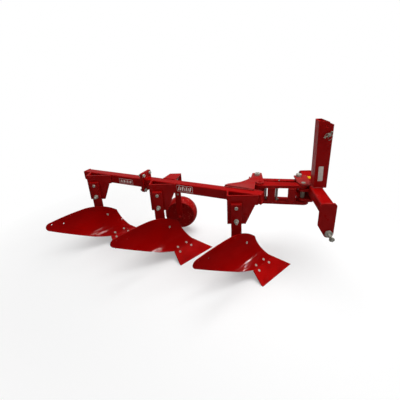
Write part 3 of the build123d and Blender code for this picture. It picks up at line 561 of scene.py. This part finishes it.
for index, body_name in enumerate(BODY_NAMES):
    surfaces = surfaces_of([f"{body_name}_{part}" for part in ("mouldboard", "share", "frog", "landside")])
    for part, places, seat in (("board", BOARD_BOLTS, board_seat), ("share", SHARE_BOLTS, share_seat)):
        bolts = Shape()
        for place in places:
            spot, outward = seat(Vector(place))
            spot = spot + BODY_STEP * index
            bolts.turned(spot - outward * FLUSH_SUNK, outward, flush_head(rim=2.4, top=2.9))
            depth = last_surface(surfaces, spot - outward * START_SUNK, -outward, LOOK_BEHIND)
            if depth:
                bolts.turned(spot - outward * depth, -outward, PLOUGH_NUT)
        bolts.piece(f"{body_name}_{part}_bolts", ZINC_STEEL, "plough_frame")
    heads = Shape()
    for x in LANDSIDE_BOLTS_X:
        place = body_point(index, x, LANDSIDE_BOLT_Y, LANDSIDE_BOLT_Z)
        heads.turned(place, LEFT, flush_head(rim=1.9, top=2.3))
    heads.piece(f"{body_name}_landside_bolts", ZINC_STEEL, "plough_frame")


# Beam joint; its plates take the place of the CAD's, which stand upside down

FLANGE_SIDE, FLANGE_RISE, FLANGE_DROP = 27.0, 58.0, 34.0
FLANGE_ROUND, FLANGE_RIM = 10.0, 1.0
FLANGE_GAP = 0.15
FLANGE_BOLT_SPREAD = 46.0
FLANGE_BOLTS_Z = (674.0, 537.0)
FLANGE_CORNER_STEPS = 4
CORNER_TURN = 90.0

# Welds round the beam, at the flanges and at the end caps: how far back, how far off its faces, radius
AROUND_BEAM = (
    (JOINT - PLATE, 2.0, WELD_WIDE),
    (JOINT + PLATE, 2.0, WELD_WIDE),
    (BEAM_LENGTH - 1.0, 0.0, WELD_SMALL),
    (1.0, 0.0, WELD_SMALL),
)


def rounded_outline(across_low, across_high, z_low, z_high, radius, back):
    """Upright rectangle square to the beam, with round corners."""
    corners = ((across_high, z_high, 0.0), (across_low, z_high, 90.0),
               (across_low, z_low, 180.0), (across_high, z_low, 270.0))
    outline = []
    for across, z, start in corners:
        centre_across = across + (radius if across == across_low else -radius)
        centre_z = z + (radius if z == z_low else -radius)
        centre = on_beam(back, centre_across, centre_z)
        outline += circle_path(centre, radius, ACROSS, UP, FLANGE_CORNER_STEPS, start, start + CORNER_TURN)
    return outline


def around_beam(back, off):
    """Corners of the beam's section, off its faces by a little."""
    low, high = -off, BEAM_SIZE + off
    return [on_beam(back, low, BEAM_LOW - off), on_beam(back, high, BEAM_LOW - off),
            on_beam(back, high, BEAM_TOP + off), on_beam(back, low, BEAM_TOP + off)]


for name, start, thick in (("front_beam_flange", JOINT - PLATE, PLATE - FLANGE_GAP),
                           ("rear_beam_flange", JOINT, PLATE)):
    plate = Shape()
    outline = rounded_outline(-FLANGE_SIDE, BEAM_SIZE + FLANGE_SIDE, BEAM_LOW - FLANGE_DROP,
                              BEAM_TOP + FLANGE_RISE, FLANGE_ROUND, start)
    plate.slab(outline, BACK * thick, FLANGE_RIM)
    made = plate.piece(f"{name}_plate", RED_PAINT, "plough_frame")
    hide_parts(name)

bolts = Shape()
for z in FLANGE_BOLTS_Z:
    for across in (BEAM_SIZE / 2 - FLANGE_BOLT_SPREAD, BEAM_SIZE / 2 + FLANGE_BOLT_SPREAD):
        bolts.turned(on_beam(JOINT - PLATE, across, z), -BACK, FLANGE_HEAD)
        bolts.turned(on_beam(JOINT + PLATE, across, z), BACK, FLANGE_NUT)
bolts.piece("beam_joint_bolts", ZINC_STEEL, "plough_frame")

welds = Shape()
for back, off, radius in AROUND_BEAM:
    welds.bead(around_beam(back, off), radius, closed=True)
welds.piece("beam_welds", RED_PAINT, "plough_frame")


# Depth wheel

ARM_X, ARM_FACE, WHEEL_PLATE_FAR = -526.0, 524.0, 552.0
AXLE_Z, WHEEL_NEAR, WHEEL_FAR = 204.0, 558.0, 708.0
ARM_HOLE_TOP, ARM_HOLE_PITCH = 592.0, 38.0
ARM_BOLT_HOLES = (0, 1)
PLUGGED_HOLE, PLUG_SUNK = 4, 6.0
PLUG = [(0.0, 8.4), (7.5, 8.4), (8.5, 7.4)]
LID_ENDS_X = (-626.0, -514.0)
LID_PLATE_X = (-583.0, -483.0)
WHEEL_WELD_IN = 14.0

# Round welds on each side of the wheel: radius of the circle, radius of the bead, steps
WHEEL_WELDS = ((126.5, 4.0, 360), (34.5, 3.5, 120))


def arm_hole_z(number):
    return ARM_HOLE_TOP - ARM_HOLE_PITCH * number


pins = Shape()
for number in ARM_BOLT_HOLES:
    pins.turned(point(ARM_X, ARM_FACE, arm_hole_z(number)), -LEFT, ARM_HEAD)
    pins.turned(point(ARM_X, WHEEL_PLATE_FAR, arm_hole_z(number)), LEFT, ARM_NUT)
pins.turned(point(ARM_X, ARM_FACE + PLUG_SUNK, arm_hole_z(PLUGGED_HOLE)), -LEFT, PLUG)
pins.piece("wheel_arm_bolts", ZINC_STEEL, "plough_frame")

nut = Shape()
nut.turned(point(ARM_X, ARM_FACE, AXLE_Z), -LEFT, AXLE_NUT)
nut.piece("wheel_axle_nut", RED_PAINT, "plough_frame")

welds = Shape()
beam_far_corner = BEAM_CORNER + ACROSS * BEAM_SIZE
welds.bead([point(x, beam_far_corner.y + (beam_far_corner.x - x) * FURROW / BODY_SPACING, BEAM_TOP)
            for x in LID_ENDS_X])
welds.bead([point(x, WHEEL_PLATE_FAR - PLATE, BEAM_TOP - PLATE) for x in LID_PLATE_X], WELD_PLAIN)
welds.piece("wheel_bracket_welds", RED_PAINT, "plough_frame")

welds = Shape()
for y in (WHEEL_NEAR + WHEEL_WELD_IN, WHEEL_FAR - WHEEL_WELD_IN):
    for circle_radius, bead_radius, steps in WHEEL_WELDS:
        path = circle_path(point(ARM_X, y, AXLE_Z), circle_radius, FORWARD, UP, steps)
        welds.tube(path, bead_radius, closed=True, ripple=WELD_RIPPLE)
welds.piece("wheel_welds", RED_PAINT, "depth_wheel")


# Parallel linkage

NEAR_REAR, NEAR_FRONT = point(197.0, 274.0), point(531.0, 228.0)
PIVOT_SPACING = point(-6.0, 150.0)
FAR_REAR, FAR_FRONT = NEAR_REAR + PIVOT_SPACING, NEAR_FRONT + PIVOT_SPACING
LINK = (NEAR_FRONT - NEAR_REAR).normalized()
LINK_SIDE = Vector((-LINK.y, LINK.x, 0.0))
LINK_LOW, LINK_LOW_TOP, LINK_HIGH = 480.0, 502.0, 615.0
LINK_GAP = LINK_HIGH - LINK_LOW_TOP
PLATE_TOP = 650.0
NUT_SEAT_Z, CAP_SEAT_Z = PLATE_TOP + 0.1, PLATE_TOP + 1.9
TIE_STATION, TIE_ACROSS = 136.0, -10.0
STOP_STATION, STOP_RADIUS, STOP_FLATS, STOP_NUT = 51.0, 6.5, 18.0, 9.0
POST_STATIONS = (94.0, 252.0)
POST_NEAR, POST_THICK = -49.0, 14.0

# Welds at each end of a post: how far across the link, half their length, radius
POST_RUNS = ((POST_NEAR + POST_THICK, 30.0, WELD_PLAIN), (POST_NEAR + 1.0, 28.0, WELD_SMALL))

# Grease nipple on the far link: hexagon, neck and ball end
NIPPLE_PLACE = point(368.0, 377.5, 614.0)
NIPPLE = [(0.0, 6.625, 6.25), (5.75, 6.625, 6.25), (6.25, 5.0), (7.5, 3.25), (11.25, 3.25),
          (13.125, 4.125), (15.625, 4.125), (17.5, 2.0)]
NIPPLE_SIDES = 24

# Welds of the gussets along the beam: where each starts and ends, how far across, how high, radius
GUSSET_EDGE = BEAM_SIZE - 15.0
GUSSET_RUNS = (
    (318.0, 74.0, GUSSET_EDGE - 1.5, BEAM_TOP + 2.0, WELD_HEAVY),
    (310.0, 20.0, BEAM_SIZE + 1.0, BEAM_TOP - 2.0, WELD_PLAIN),
    (250.0, 60.0, BEAM_SIZE + 1.0, BEAM_LOW, WELD_PLAIN),
)


def on_link(station, across, z):
    """Place so far along the near link and so far across it, at a height."""
    return NEAR_REAR + LINK * station + LINK_SIDE * across + UP * z


for name, place, body in (("far_rear", FAR_REAR, "plough_frame"), ("far_front", FAR_FRONT, "headstock")):
    nut = Shape()
    nut.turned(place + UP * NUT_SEAT_Z, UP, PIVOT_NUT)
    nut.piece(f"{name}_pivot_nut", ZINC_STEEL, body)

for name, place, body, material, slot in (
        ("near_rear", NEAR_REAR, "plough_frame", RED_PAINT, "red_paint"),
        ("near_front", NEAR_FRONT, "headstock", ZINC_STEEL, "zinc_steel")):
    cap = Shape()
    cap.turned(place + UP * CAP_SEAT_Z, UP, PIVOT_CAP)
    cap.piece(f"{name}_pivot_cap", material, body)

nuts = Shape()
nuts.turned(on_link(TIE_STATION, TIE_ACROSS, LINK_LOW_TOP), UP, TIE_ROD_NUT)
nuts.turned(on_link(TIE_STATION, TIE_ACROSS, LINK_HIGH), -UP, TIE_ROD_NUT)
nuts.turned(on_link(TIE_STATION, TIE_ACROSS, LINK_LOW), -UP, TIE_ROD_HEAD)
nuts.piece("tie_rod_nuts", ZINC_STEEL, "near_link")

rod = Shape()
rod.turned(on_link(STOP_STATION, 0.0, LINK_LOW_TOP), UP,
           hexagon(STOP_FLATS, STOP_NUT) + [(STOP_NUT, STOP_RADIUS), (LINK_GAP - STOP_NUT, STOP_RADIUS)]
           + hexagon(STOP_FLATS, STOP_NUT, LINK_GAP - STOP_NUT))
rod.piece("link_stop_rod", ZINC_STEEL, "near_link")

welds = Shape()
for station in POST_STATIONS:
    for z in (LINK_LOW_TOP + 1.0, LINK_HIGH - 1.0):
        for across, half, radius in POST_RUNS:
            welds.bead([on_link(station - half, across, z), on_link(station + half, across, z)], radius)
welds.piece("near_link_welds", RED_PAINT, "near_link")

grease = Shape()
grease.turned(NIPPLE_PLACE, UP, NIPPLE, NIPPLE_SIDES)
grease.piece("far_link_nipple", ZINC_STEEL, "far_link")

welds = Shape()
for start, end, across, z, radius in GUSSET_RUNS:
    welds.bead([on_beam(start, across, z), on_beam(end, across, z)], radius)
welds.piece("gusset_welds", RED_PLATE, "plough_frame")


# Headstock

CROSS_REAR, CROSS_FRONT = 570.0, 660.0
NEAR_PLATE, FAR_PLATE = -140.0, 543.0
MAST_NEAR, MAST_FAR, MAST_FOOT = 151.5, 251.5, 588.0
WELD_OFF = 1.0
CROSS_CORNERS = ((CROSS_REAR - WELD_OFF, BEAM_LOW - WELD_OFF), (CROSS_FRONT + WELD_OFF, BEAM_LOW - WELD_OFF),
                 (CROSS_FRONT + WELD_OFF, BEAM_TOP + WELD_OFF), (CROSS_REAR - WELD_OFF, BEAM_TOP + WELD_OFF))
MAST_CORNERS = ((CROSS_FRONT - WELD_OFF, MAST_NEAR - WELD_OFF), (MAST_FOOT - WELD_OFF, MAST_NEAR - WELD_OFF),
                (MAST_FOOT - WELD_OFF, MAST_FAR + WELD_OFF), (CROSS_FRONT - WELD_OFF, MAST_FAR + WELD_OFF))

# Welds along the head plates: x, near end and far end, height, radius
HEAD_RUNS = (
    (MAST_FOOT, 197.0, 258.0, PLATE_TOP - PLATE / 2, WELD_PLAIN),
    (MAST_FOOT, MAST_FAR + 2.0, 398.0, BEAM_TOP + 3.0, WELD_BROAD),
    (CROSS_REAR - WELD_OFF, 200.0, 396.0, BEAM_TOP - 2.0, WELD_PLAIN),
    (CROSS_REAR - WELD_OFF, 192.0, 262.0, 590.0, WELD_PLAIN),
)

welds = Shape()
for y in (NEAR_PLATE + PLATE + WELD_OFF, FAR_PLATE - PLATE - WELD_OFF):
    welds.bead([point(x, y, z) for x, z in CROSS_CORNERS], closed=True)
welds.bead([point(x, y, BEAM_TOP + WELD_OFF) for x, y in MAST_CORNERS], WELD_BROAD)
for x, near, far, z, radius in HEAD_RUNS:
    welds.bead([point(x, near, z), point(x, far, z)], radius)
welds.piece("headstock_welds", RED_PLATE, "headstock")


# Linchpins and hitch nuts

HITCH_X, HITCH_Z = 639.0, 412.0
HITCH_HOLE = 80.0
HITCH_SEAT = 0.1
HITCH_DROP = Vector((0.35, 0.0, -1.0)).normalized()
TOP_PIN = point(655.0, 133.0, 1044.0)
TOP_DROP = Vector((-0.55, 0.0, -1.0)).normalized()
HANDLE_PATH = (point(-3.0, -7.0, 2.0), point(-18.0, -9.0, -5.0), point(-32.0, -9.0, -12.0),
               point(-41.0, -7.0, -17.0))
HANDLE_RADIUS, HANDLE_SIDES = 4.5, 12
PIN_SHAFT, SHAFT_ABOVE = [(0.0, 3.0), (1.5, 4.5), (40.0, 4.5), (44.0, 2.0)], 22.0
PIN_HEAD, HEAD_ABOVE = [(0.0, 5.0), (2.0, 8.0), (8.0, 8.0), (10.0, 5.0)], 30.0
PIN_SIDES = 24
RING_LEAN = 0.25
RING_START, RING_END = 30.0, 330.0
RING_STEPS, RING_SIDES = 60, 10


def linchpin(shape, centre, axis, drop, ring_radius, wire, sag):
    """Spring-ring pin through a pin's end: shaft along drop, ring around the end."""
    shape.turned(centre - drop * SHAFT_ABOVE, drop, PIN_SHAFT, PIN_SIDES)
    shape.turned(centre - drop * HEAD_ABOVE, drop, PIN_HEAD, PIN_SIDES)
    across = (axis.cross(drop).normalized() + axis * RING_LEAN).normalized()
    ring = circle_path(centre + drop * sag, ring_radius, drop, across, RING_STEPS, RING_START, RING_END)
    shape.tube(ring, wire, RING_SIDES)


pin = Shape()
linchpin(pin, TOP_PIN, LEFT, TOP_DROP, ring_radius=25.0, wire=2.2, sag=12.0)
pin.tube([TOP_PIN + place for place in HANDLE_PATH], HANDLE_RADIUS, HANDLE_SIDES)
pin.piece("top_link_linchpin", ZINC_OLD, "headstock")

for name, outward, y in (("near", -LEFT, NEAR_PLATE), ("far", LEFT, FAR_PLATE)):
    foot = point(HITCH_X, y, HITCH_Z)
    collar = Shape()
    collar.turned(foot + outward * HITCH_SEAT, outward, HITCH_NUT)
    collar.piece(f"{name}_hitch_nut", ZINC_STEEL, "headstock")
    pin = Shape()
    linchpin(pin, foot + outward * HITCH_HOLE, outward, HITCH_DROP, ring_radius=15.0, wire=4.0, sag=2.0)
    pin.piece(f"{name}_hitch_linchpin", ZINC_OLD, "headstock")


# Blank labels and plain marks

VINYL = 0.8

# Mast label, leaning back with the mast: x and z of two corners, lean, radius of the corners
LABEL_X, LABEL_Z = (613.0, 648.0), (694.0, 808.0)
LABEL_LEAN = -0.02
LABEL_ROUND = 3.0
LABEL_CORNER_STEPS = 3
CROSSBAR_LABEL = ((600.0, 352.0), (624.0, 352.0), (624.0, 404.0), (600.0, 404.0))

# Each mark on the beam is a thin frame round slanted strokes: its start and end along the beam,
# and its lower and upper edge
MARKS = {"front_beam_mark": (572.0, 726.0, 572.0, 627.0), "rear_beam_mark": (1182.0, 1334.0, 570.0, 616.0)}
FRAME_LINE = 2.2
STROKE_WIDTHS = (13.0, 7.0, 10.0, 6.0, 12.0, 8.0, 9.0)
STROKE_START, STROKE_GAP, STROKE_MARGIN = 14.0, 9.0, 11.0
STROKE_FOOT, STROKE_HEAD = 6.0, -2.0
SHORT_STROKE_DROP = 5.0


def label_outline():
    """Mast label's outline, with round corners."""
    (low_x, high_x), (low_z, high_z) = LABEL_X, LABEL_Z
    outline = []
    for x, z, start in ((high_x, high_z, 0.0), (low_x, high_z, 90.0), (low_x, low_z, 180.0),
                        (high_x, low_z, 270.0)):
        centre_x = x + (LABEL_ROUND if x == low_x else -LABEL_ROUND)
        centre_z = z + (LABEL_ROUND if z == low_z else -LABEL_ROUND)
        corner = circle_path(point(centre_x, MAST_NEAR, centre_z), LABEL_ROUND, FORWARD, UP,
                             LABEL_CORNER_STEPS, start, start + CORNER_TURN)
        outline += [place + FORWARD * (LABEL_LEAN * (place.z - low_z)) for place in corner]
    return outline


def strip(shape, first_back, second_back, first_z, second_z, width_back, width_z):
    """Flat strip on the beam's near side, between two ends, with its width along the beam and up."""
    outline = [on_beam(first_back, 0.0, first_z),
               on_beam(first_back + width_back, 0.0, first_z + width_z),
               on_beam(second_back + width_back, 0.0, second_z + width_z),
               on_beam(second_back, 0.0, second_z)]
    shape.slab(outline, -ACROSS * VINYL)


label = Shape()
label.slab(label_outline(), -LEFT * VINYL)
label.piece("mast_label", WHITE_VINYL, "headstock")

label = Shape()
label.slab([point(x, y, BEAM_TOP) for x, y in CROSSBAR_LABEL], UP * VINYL)
label.piece("crossbar_label", YELLOW_VINYL, "headstock")

for name, (start, end, low, high) in MARKS.items():
    mark = Shape()
    strip(mark, start, end, low, low, 0.0, FRAME_LINE)
    strip(mark, start, end, high - FRAME_LINE, high - FRAME_LINE, 0.0, FRAME_LINE)
    strip(mark, start, start, low, high, FRAME_LINE, 0.0)
    strip(mark, end - FRAME_LINE, end - FRAME_LINE, low, high, FRAME_LINE, 0.0)
    place = start + STROKE_START
    for number, width in enumerate(STROKE_WIDTHS):
        top = high - STROKE_MARGIN - (SHORT_STROKE_DROP if number % 2 else 0.0)
        strip(mark, place + STROKE_FOOT, place + STROKE_HEAD, low + STROKE_MARGIN, top, width, 0.0)
        place += width + STROKE_GAP
    mark.piece(name, DECAL_VINYL, "plough_frame")


# Camera

def camera_axes():
    """Rightward, upward and forward directions of the camera."""
    right = Vector((math.cos(CAMERA_YAW), -math.sin(CAMERA_YAW), 0.0))
    level = Vector((math.sin(CAMERA_YAW), math.cos(CAMERA_YAW), 0.0))
    forward = level * math.cos(CAMERA_PITCH) - UP * math.sin(CAMERA_PITCH)
    raised = UP * math.cos(CAMERA_PITCH) + level * math.sin(CAMERA_PITCH)
    rolled_right = right * math.cos(CAMERA_ROLL) + raised * math.sin(CAMERA_ROLL)
    rolled_up = raised * math.cos(CAMERA_ROLL) - right * math.sin(CAMERA_ROLL)
    return rolled_right, rolled_up, forward


def make_camera():
    right, up, forward = camera_axes()
    data = bpy.data.cameras.new("camera")
    data.sensor_width = SENSOR_WIDTH
    data.lens = FOCAL_PIXELS * SENSOR_WIDTH / IMAGE_SIZE
    data.shift_x = (IMAGE_SIZE / 2 - CENTRE_PIXEL[0]) / IMAGE_SIZE
    data.shift_y = (CENTRE_PIXEL[1] - IMAGE_SIZE / 2) / IMAGE_SIZE
    camera = bpy.data.objects.new("camera", data)
    bpy.context.collection.objects.link(camera)
    rotation = Matrix((right, up, -forward)).transposed()
    camera.matrix_world = Matrix.Translation(DATUM + CAMERA_OFFSET) @ rotation.to_4x4()
    bpy.context.scene.camera = camera


# Floor and world: darker in reflections than to the camera, but pale again behind the plough

WHITE = (1.0, 1.0, 1.0, 1.0)
FLOOR_SEEN = (0.92, 0.92, 0.92, 1.0)
FLOOR_BOUNCE = (0.52, 0.52, 0.52, 1.0)
FLOOR_MIRRORED = (0.02, 0.02, 0.02, 1.0)
FLOOR_MIRRORED_BEHIND = (0.48, 0.48, 0.48, 1.0)
FLOOR_HALF = 14.0
FLOOR_ROUGHNESS = 0.9

# In metres: where the floor turns pale in reflections, and how far out it fades to white for the camera
FLOOR_BEHIND = (1.0, 2.2)
FADE_REACH = (0.7, 2.2)
FADE_SHARE = (0.3, 1.0)

# World's light, and the band of directions that is pale in reflections: leftwards, low and ahead
WORLD_FILL = 0.27
WORLD_MIRRORED = 0.01
WORLD_MIRRORED_BEHIND = 0.36
WORLD_LEFTWARDS = (0.32, -0.45)
WORLD_LOW = (0.62, 0.40)
WORLD_AHEAD = (0.5, 0.75)


def light_path(tree, kind):
    """1 on the kind of ray named, else 0."""
    return tree.nodes.new("ShaderNodeLightPath").outputs[kind]


def make_floor():
    """Pale floor: white to the camera away from the object, darker to the light it returns."""
    mesh = bpy.data.meshes.new("floor")
    corners = [(-FLOOR_HALF, -FLOOR_HALF, FLOOR_Z), (FLOOR_HALF, -FLOOR_HALF, FLOOR_Z),
               (FLOOR_HALF, FLOOR_HALF, FLOOR_Z), (-FLOOR_HALF, FLOOR_HALF, FLOOR_Z)]
    mesh.from_pydata(corners, [], [(0, 1, 2, 3)])
    floor = bpy.data.objects.new("floor", mesh)
    bpy.context.collection.objects.link(floor)
    material, tree, shader = new_material("floor")
    seen = light_path(tree, "Is Camera Ray")
    coordinates = tree.nodes.new("ShaderNodeTexCoord")
    split = tree.nodes.new("ShaderNodeSeparateXYZ")
    tree.links.new(coordinates.outputs["Object"], split.inputs["Vector"])
    behind = remap(tree, split.outputs["Y"], FLOOR_BEHIND)
    reflected = blend_colours(tree, behind, FLOOR_MIRRORED, FLOOR_MIRRORED_BEHIND)
    unseen = blend_colours(tree, light_path(tree, "Is Glossy Ray"), FLOOR_BOUNCE, reflected)
    tree.links.new(blend_colours(tree, seen, unseen, FLOOR_SEEN), shader.inputs["Base Color"])
    shader.inputs["Roughness"].default_value = FLOOR_ROUGHNESS
    shader.inputs["Specular IOR Level"].default_value = 0.0
    distance = tree.nodes.new("ShaderNodeVectorMath")
    distance.operation = "LENGTH"
    tree.links.new(coordinates.outputs["Object"], distance.inputs[0])
    far = remap(tree, distance.outputs["Value"], FADE_REACH, FADE_SHARE)
    emission = tree.nodes.new("ShaderNodeEmission")
    emission.inputs["Color"].default_value = WHITE
    emission.inputs["Strength"].default_value = 1.0
    mix = tree.nodes.new("ShaderNodeMixShader")
    tree.links.new(combine(tree, "MULTIPLY", far, seen), mix.inputs["Fac"])
    tree.links.new(shader.outputs["BSDF"], mix.inputs[1])
    tree.links.new(emission.outputs["Emission"], mix.inputs[2])
    output = tree.nodes["Material Output"]
    tree.links.new(mix.outputs["Shader"], output.inputs["Surface"])
    mesh.materials.append(material)


def make_world():
    """White to the camera, a dim fill to the object, and dark in its reflections but for a pale band."""
    world = bpy.data.worlds.new("world")
    world.use_nodes = True
    bpy.context.scene.world = world
    tree = world.node_tree
    background = tree.nodes["Background"]
    coordinates = tree.nodes.new("ShaderNodeTexCoord")
    split = tree.nodes.new("ShaderNodeSeparateXYZ")
    tree.links.new(coordinates.outputs["Generated"], split.inputs["Vector"])
    leftwards = remap(tree, split.outputs["X"], WORLD_LEFTWARDS)
    low = remap(tree, split.outputs["Z"], WORLD_LOW)
    ahead = remap(tree, split.outputs["Y"], WORLD_AHEAD)
    pale = combine(tree, "MULTIPLY", combine(tree, "MULTIPLY", leftwards, low), ahead)
    reflected = remap(tree, pale, (0.0, 1.0), (WORLD_MIRRORED, WORLD_MIRRORED_BEHIND))
    glossy = light_path(tree, "Is Glossy Ray")
    mirrored = combine(tree, "MULTIPLY", glossy, reflected)
    filled = remap(tree, glossy, (0.0, 1.0), (WORLD_FILL, 0.0))
    unseen = combine(tree, "ADD", mirrored, filled)
    strength = combine(tree, "MAXIMUM", unseen, light_path(tree, "Is Camera Ray"))
    tree.links.new(strength, background.inputs["Strength"])
    background.inputs["Color"].default_value = WHITE


# Lamps

# Large soft lamps, kept out of reflections: place, target, size and power, in metres and watts
SOFT_LAMPS = {
    "overhead": ((0.9, 0.7, 3.9), (0.1, 0.0, 0.0), (3.6, 2.6), 146.0),
    "board_fill": ((4.2, -0.6, 2.6), (0.0, 0.0, 0.2), (1.6, 1.6), 16.0),
    "left_fill": ((-2.6, -2.8, 1.6), (-0.4, 0.0, 0.4), (1.6, 1.2), 7.0),
}

# Small lamps that show as glints on the mouldboards: body, the glint's pixel in the photograph,
# the lamp's height, its width across and along in millimetres, and its radiance
FRONT, MIDDLE, REAR = range(3)
GLINTS = (
    (REAR, (102.0, 232.3), 3500.0, 170.0, 130.0, 30.0),
    (REAR, (94.2, 233.5), 3500.0, 110.0, 110.0, 15.0),
    (REAR, (98.1, 229.9), 3500.0, 110.0, 120.0, 16.0),
    (REAR, (97.1, 236.4), 3500.0, 110.0, 110.0, 24.0),
    (REAR, (117.8, 221.4), 3500.0, 110.0, 1000.0, 26.0),
    (MIDDLE, (161.1, 248.0), 3500.0, 170.0, 160.0, 32.0),
    (MIDDLE, (158.3, 251.5), 3500.0, 110.0, 110.0, 20.0),
    (MIDDLE, (186.0, 231.7), 3500.0, 160.0, 420.0, 15.0),
    (FRONT, (247.7, 261.3), 2500.0, 200.0, 200.0, 24.0),
    (FRONT, (243.9, 266.8), 2500.0, 150.0, 150.0, 14.0),
    (FRONT, (242.2, 271.0), 3500.0, 200.0, 150.0, 22.0),
)
GLINT_GAIN = 1.7
GLINT_TARGET = (0.0, 0.0, 0.2)


def area_light(name, place, target, size, power, mirrored):
    data = bpy.data.lights.new(name, "AREA")
    data.shape = "RECTANGLE"
    data.size, data.size_y = size
    data.energy = power
    light = bpy.data.objects.new(name, data)
    bpy.context.collection.objects.link(light)
    light.location = place
    direction = Vector(target) - Vector(place)
    light.rotation_euler = direction.to_track_quat("-Z", "Y").to_euler()
    light.visible_glossy = mirrored


def glint_lamp(index, pixel, height):
    """Where a lamp at this height has to stand for a mouldboard to mirror it at a pixel."""
    right, up, forward = camera_axes()
    sight = (forward + right * ((pixel[0] - CENTRE_PIXEL[0]) / FOCAL_PIXELS)
             + up * ((CENTRE_PIXEL[1] - pixel[1]) / FOCAL_PIXELS)).normalized()
    eye = CAMERA_OFFSET / MM - BODY_STEP * index
    # The line of sight goes in through the open side of the cylinder and meets its far side
    offset, rise = eye.dot(SECTION) - CURVE_OFFSET, eye.z - CURVE_Z
    run_offset, run_rise = sight.dot(SECTION), sight.z
    square = run_offset ** 2 + run_rise ** 2
    half = offset * run_offset + rise * run_rise
    left_over = offset ** 2 + rise ** 2 - CURVE_RADIUS ** 2
    reach = (math.sqrt(half ** 2 - square * left_over) - half) / square
    seat, outward = board_seat(eye + sight * reach)
    bounce = sight - outward * (2.0 * sight.dot(outward))
    return seat + BODY_STEP * index + bounce * ((height - seat.z) / bounce.z)


def make_lamps():
    for name, (place, target, size, power) in SOFT_LAMPS.items():
        area_light(name, place, target, size, power, mirrored=False)
    for number, (index, pixel, height, across, along, radiance) in enumerate(GLINTS):
        place = DATUM + glint_lamp(index, pixel, height) * MM
        size = (across * MM, along * MM)
        power = GLINT_GAIN * radiance * math.pi * size[0] * size[1]
        area_light(f"glint_{number}", place, GLINT_TARGET, size, power, mirrored=True)


make_floor()
make_world()
make_lamps()
make_camera()
bpy.context.scene.view_settings.view_transform = "Standard"
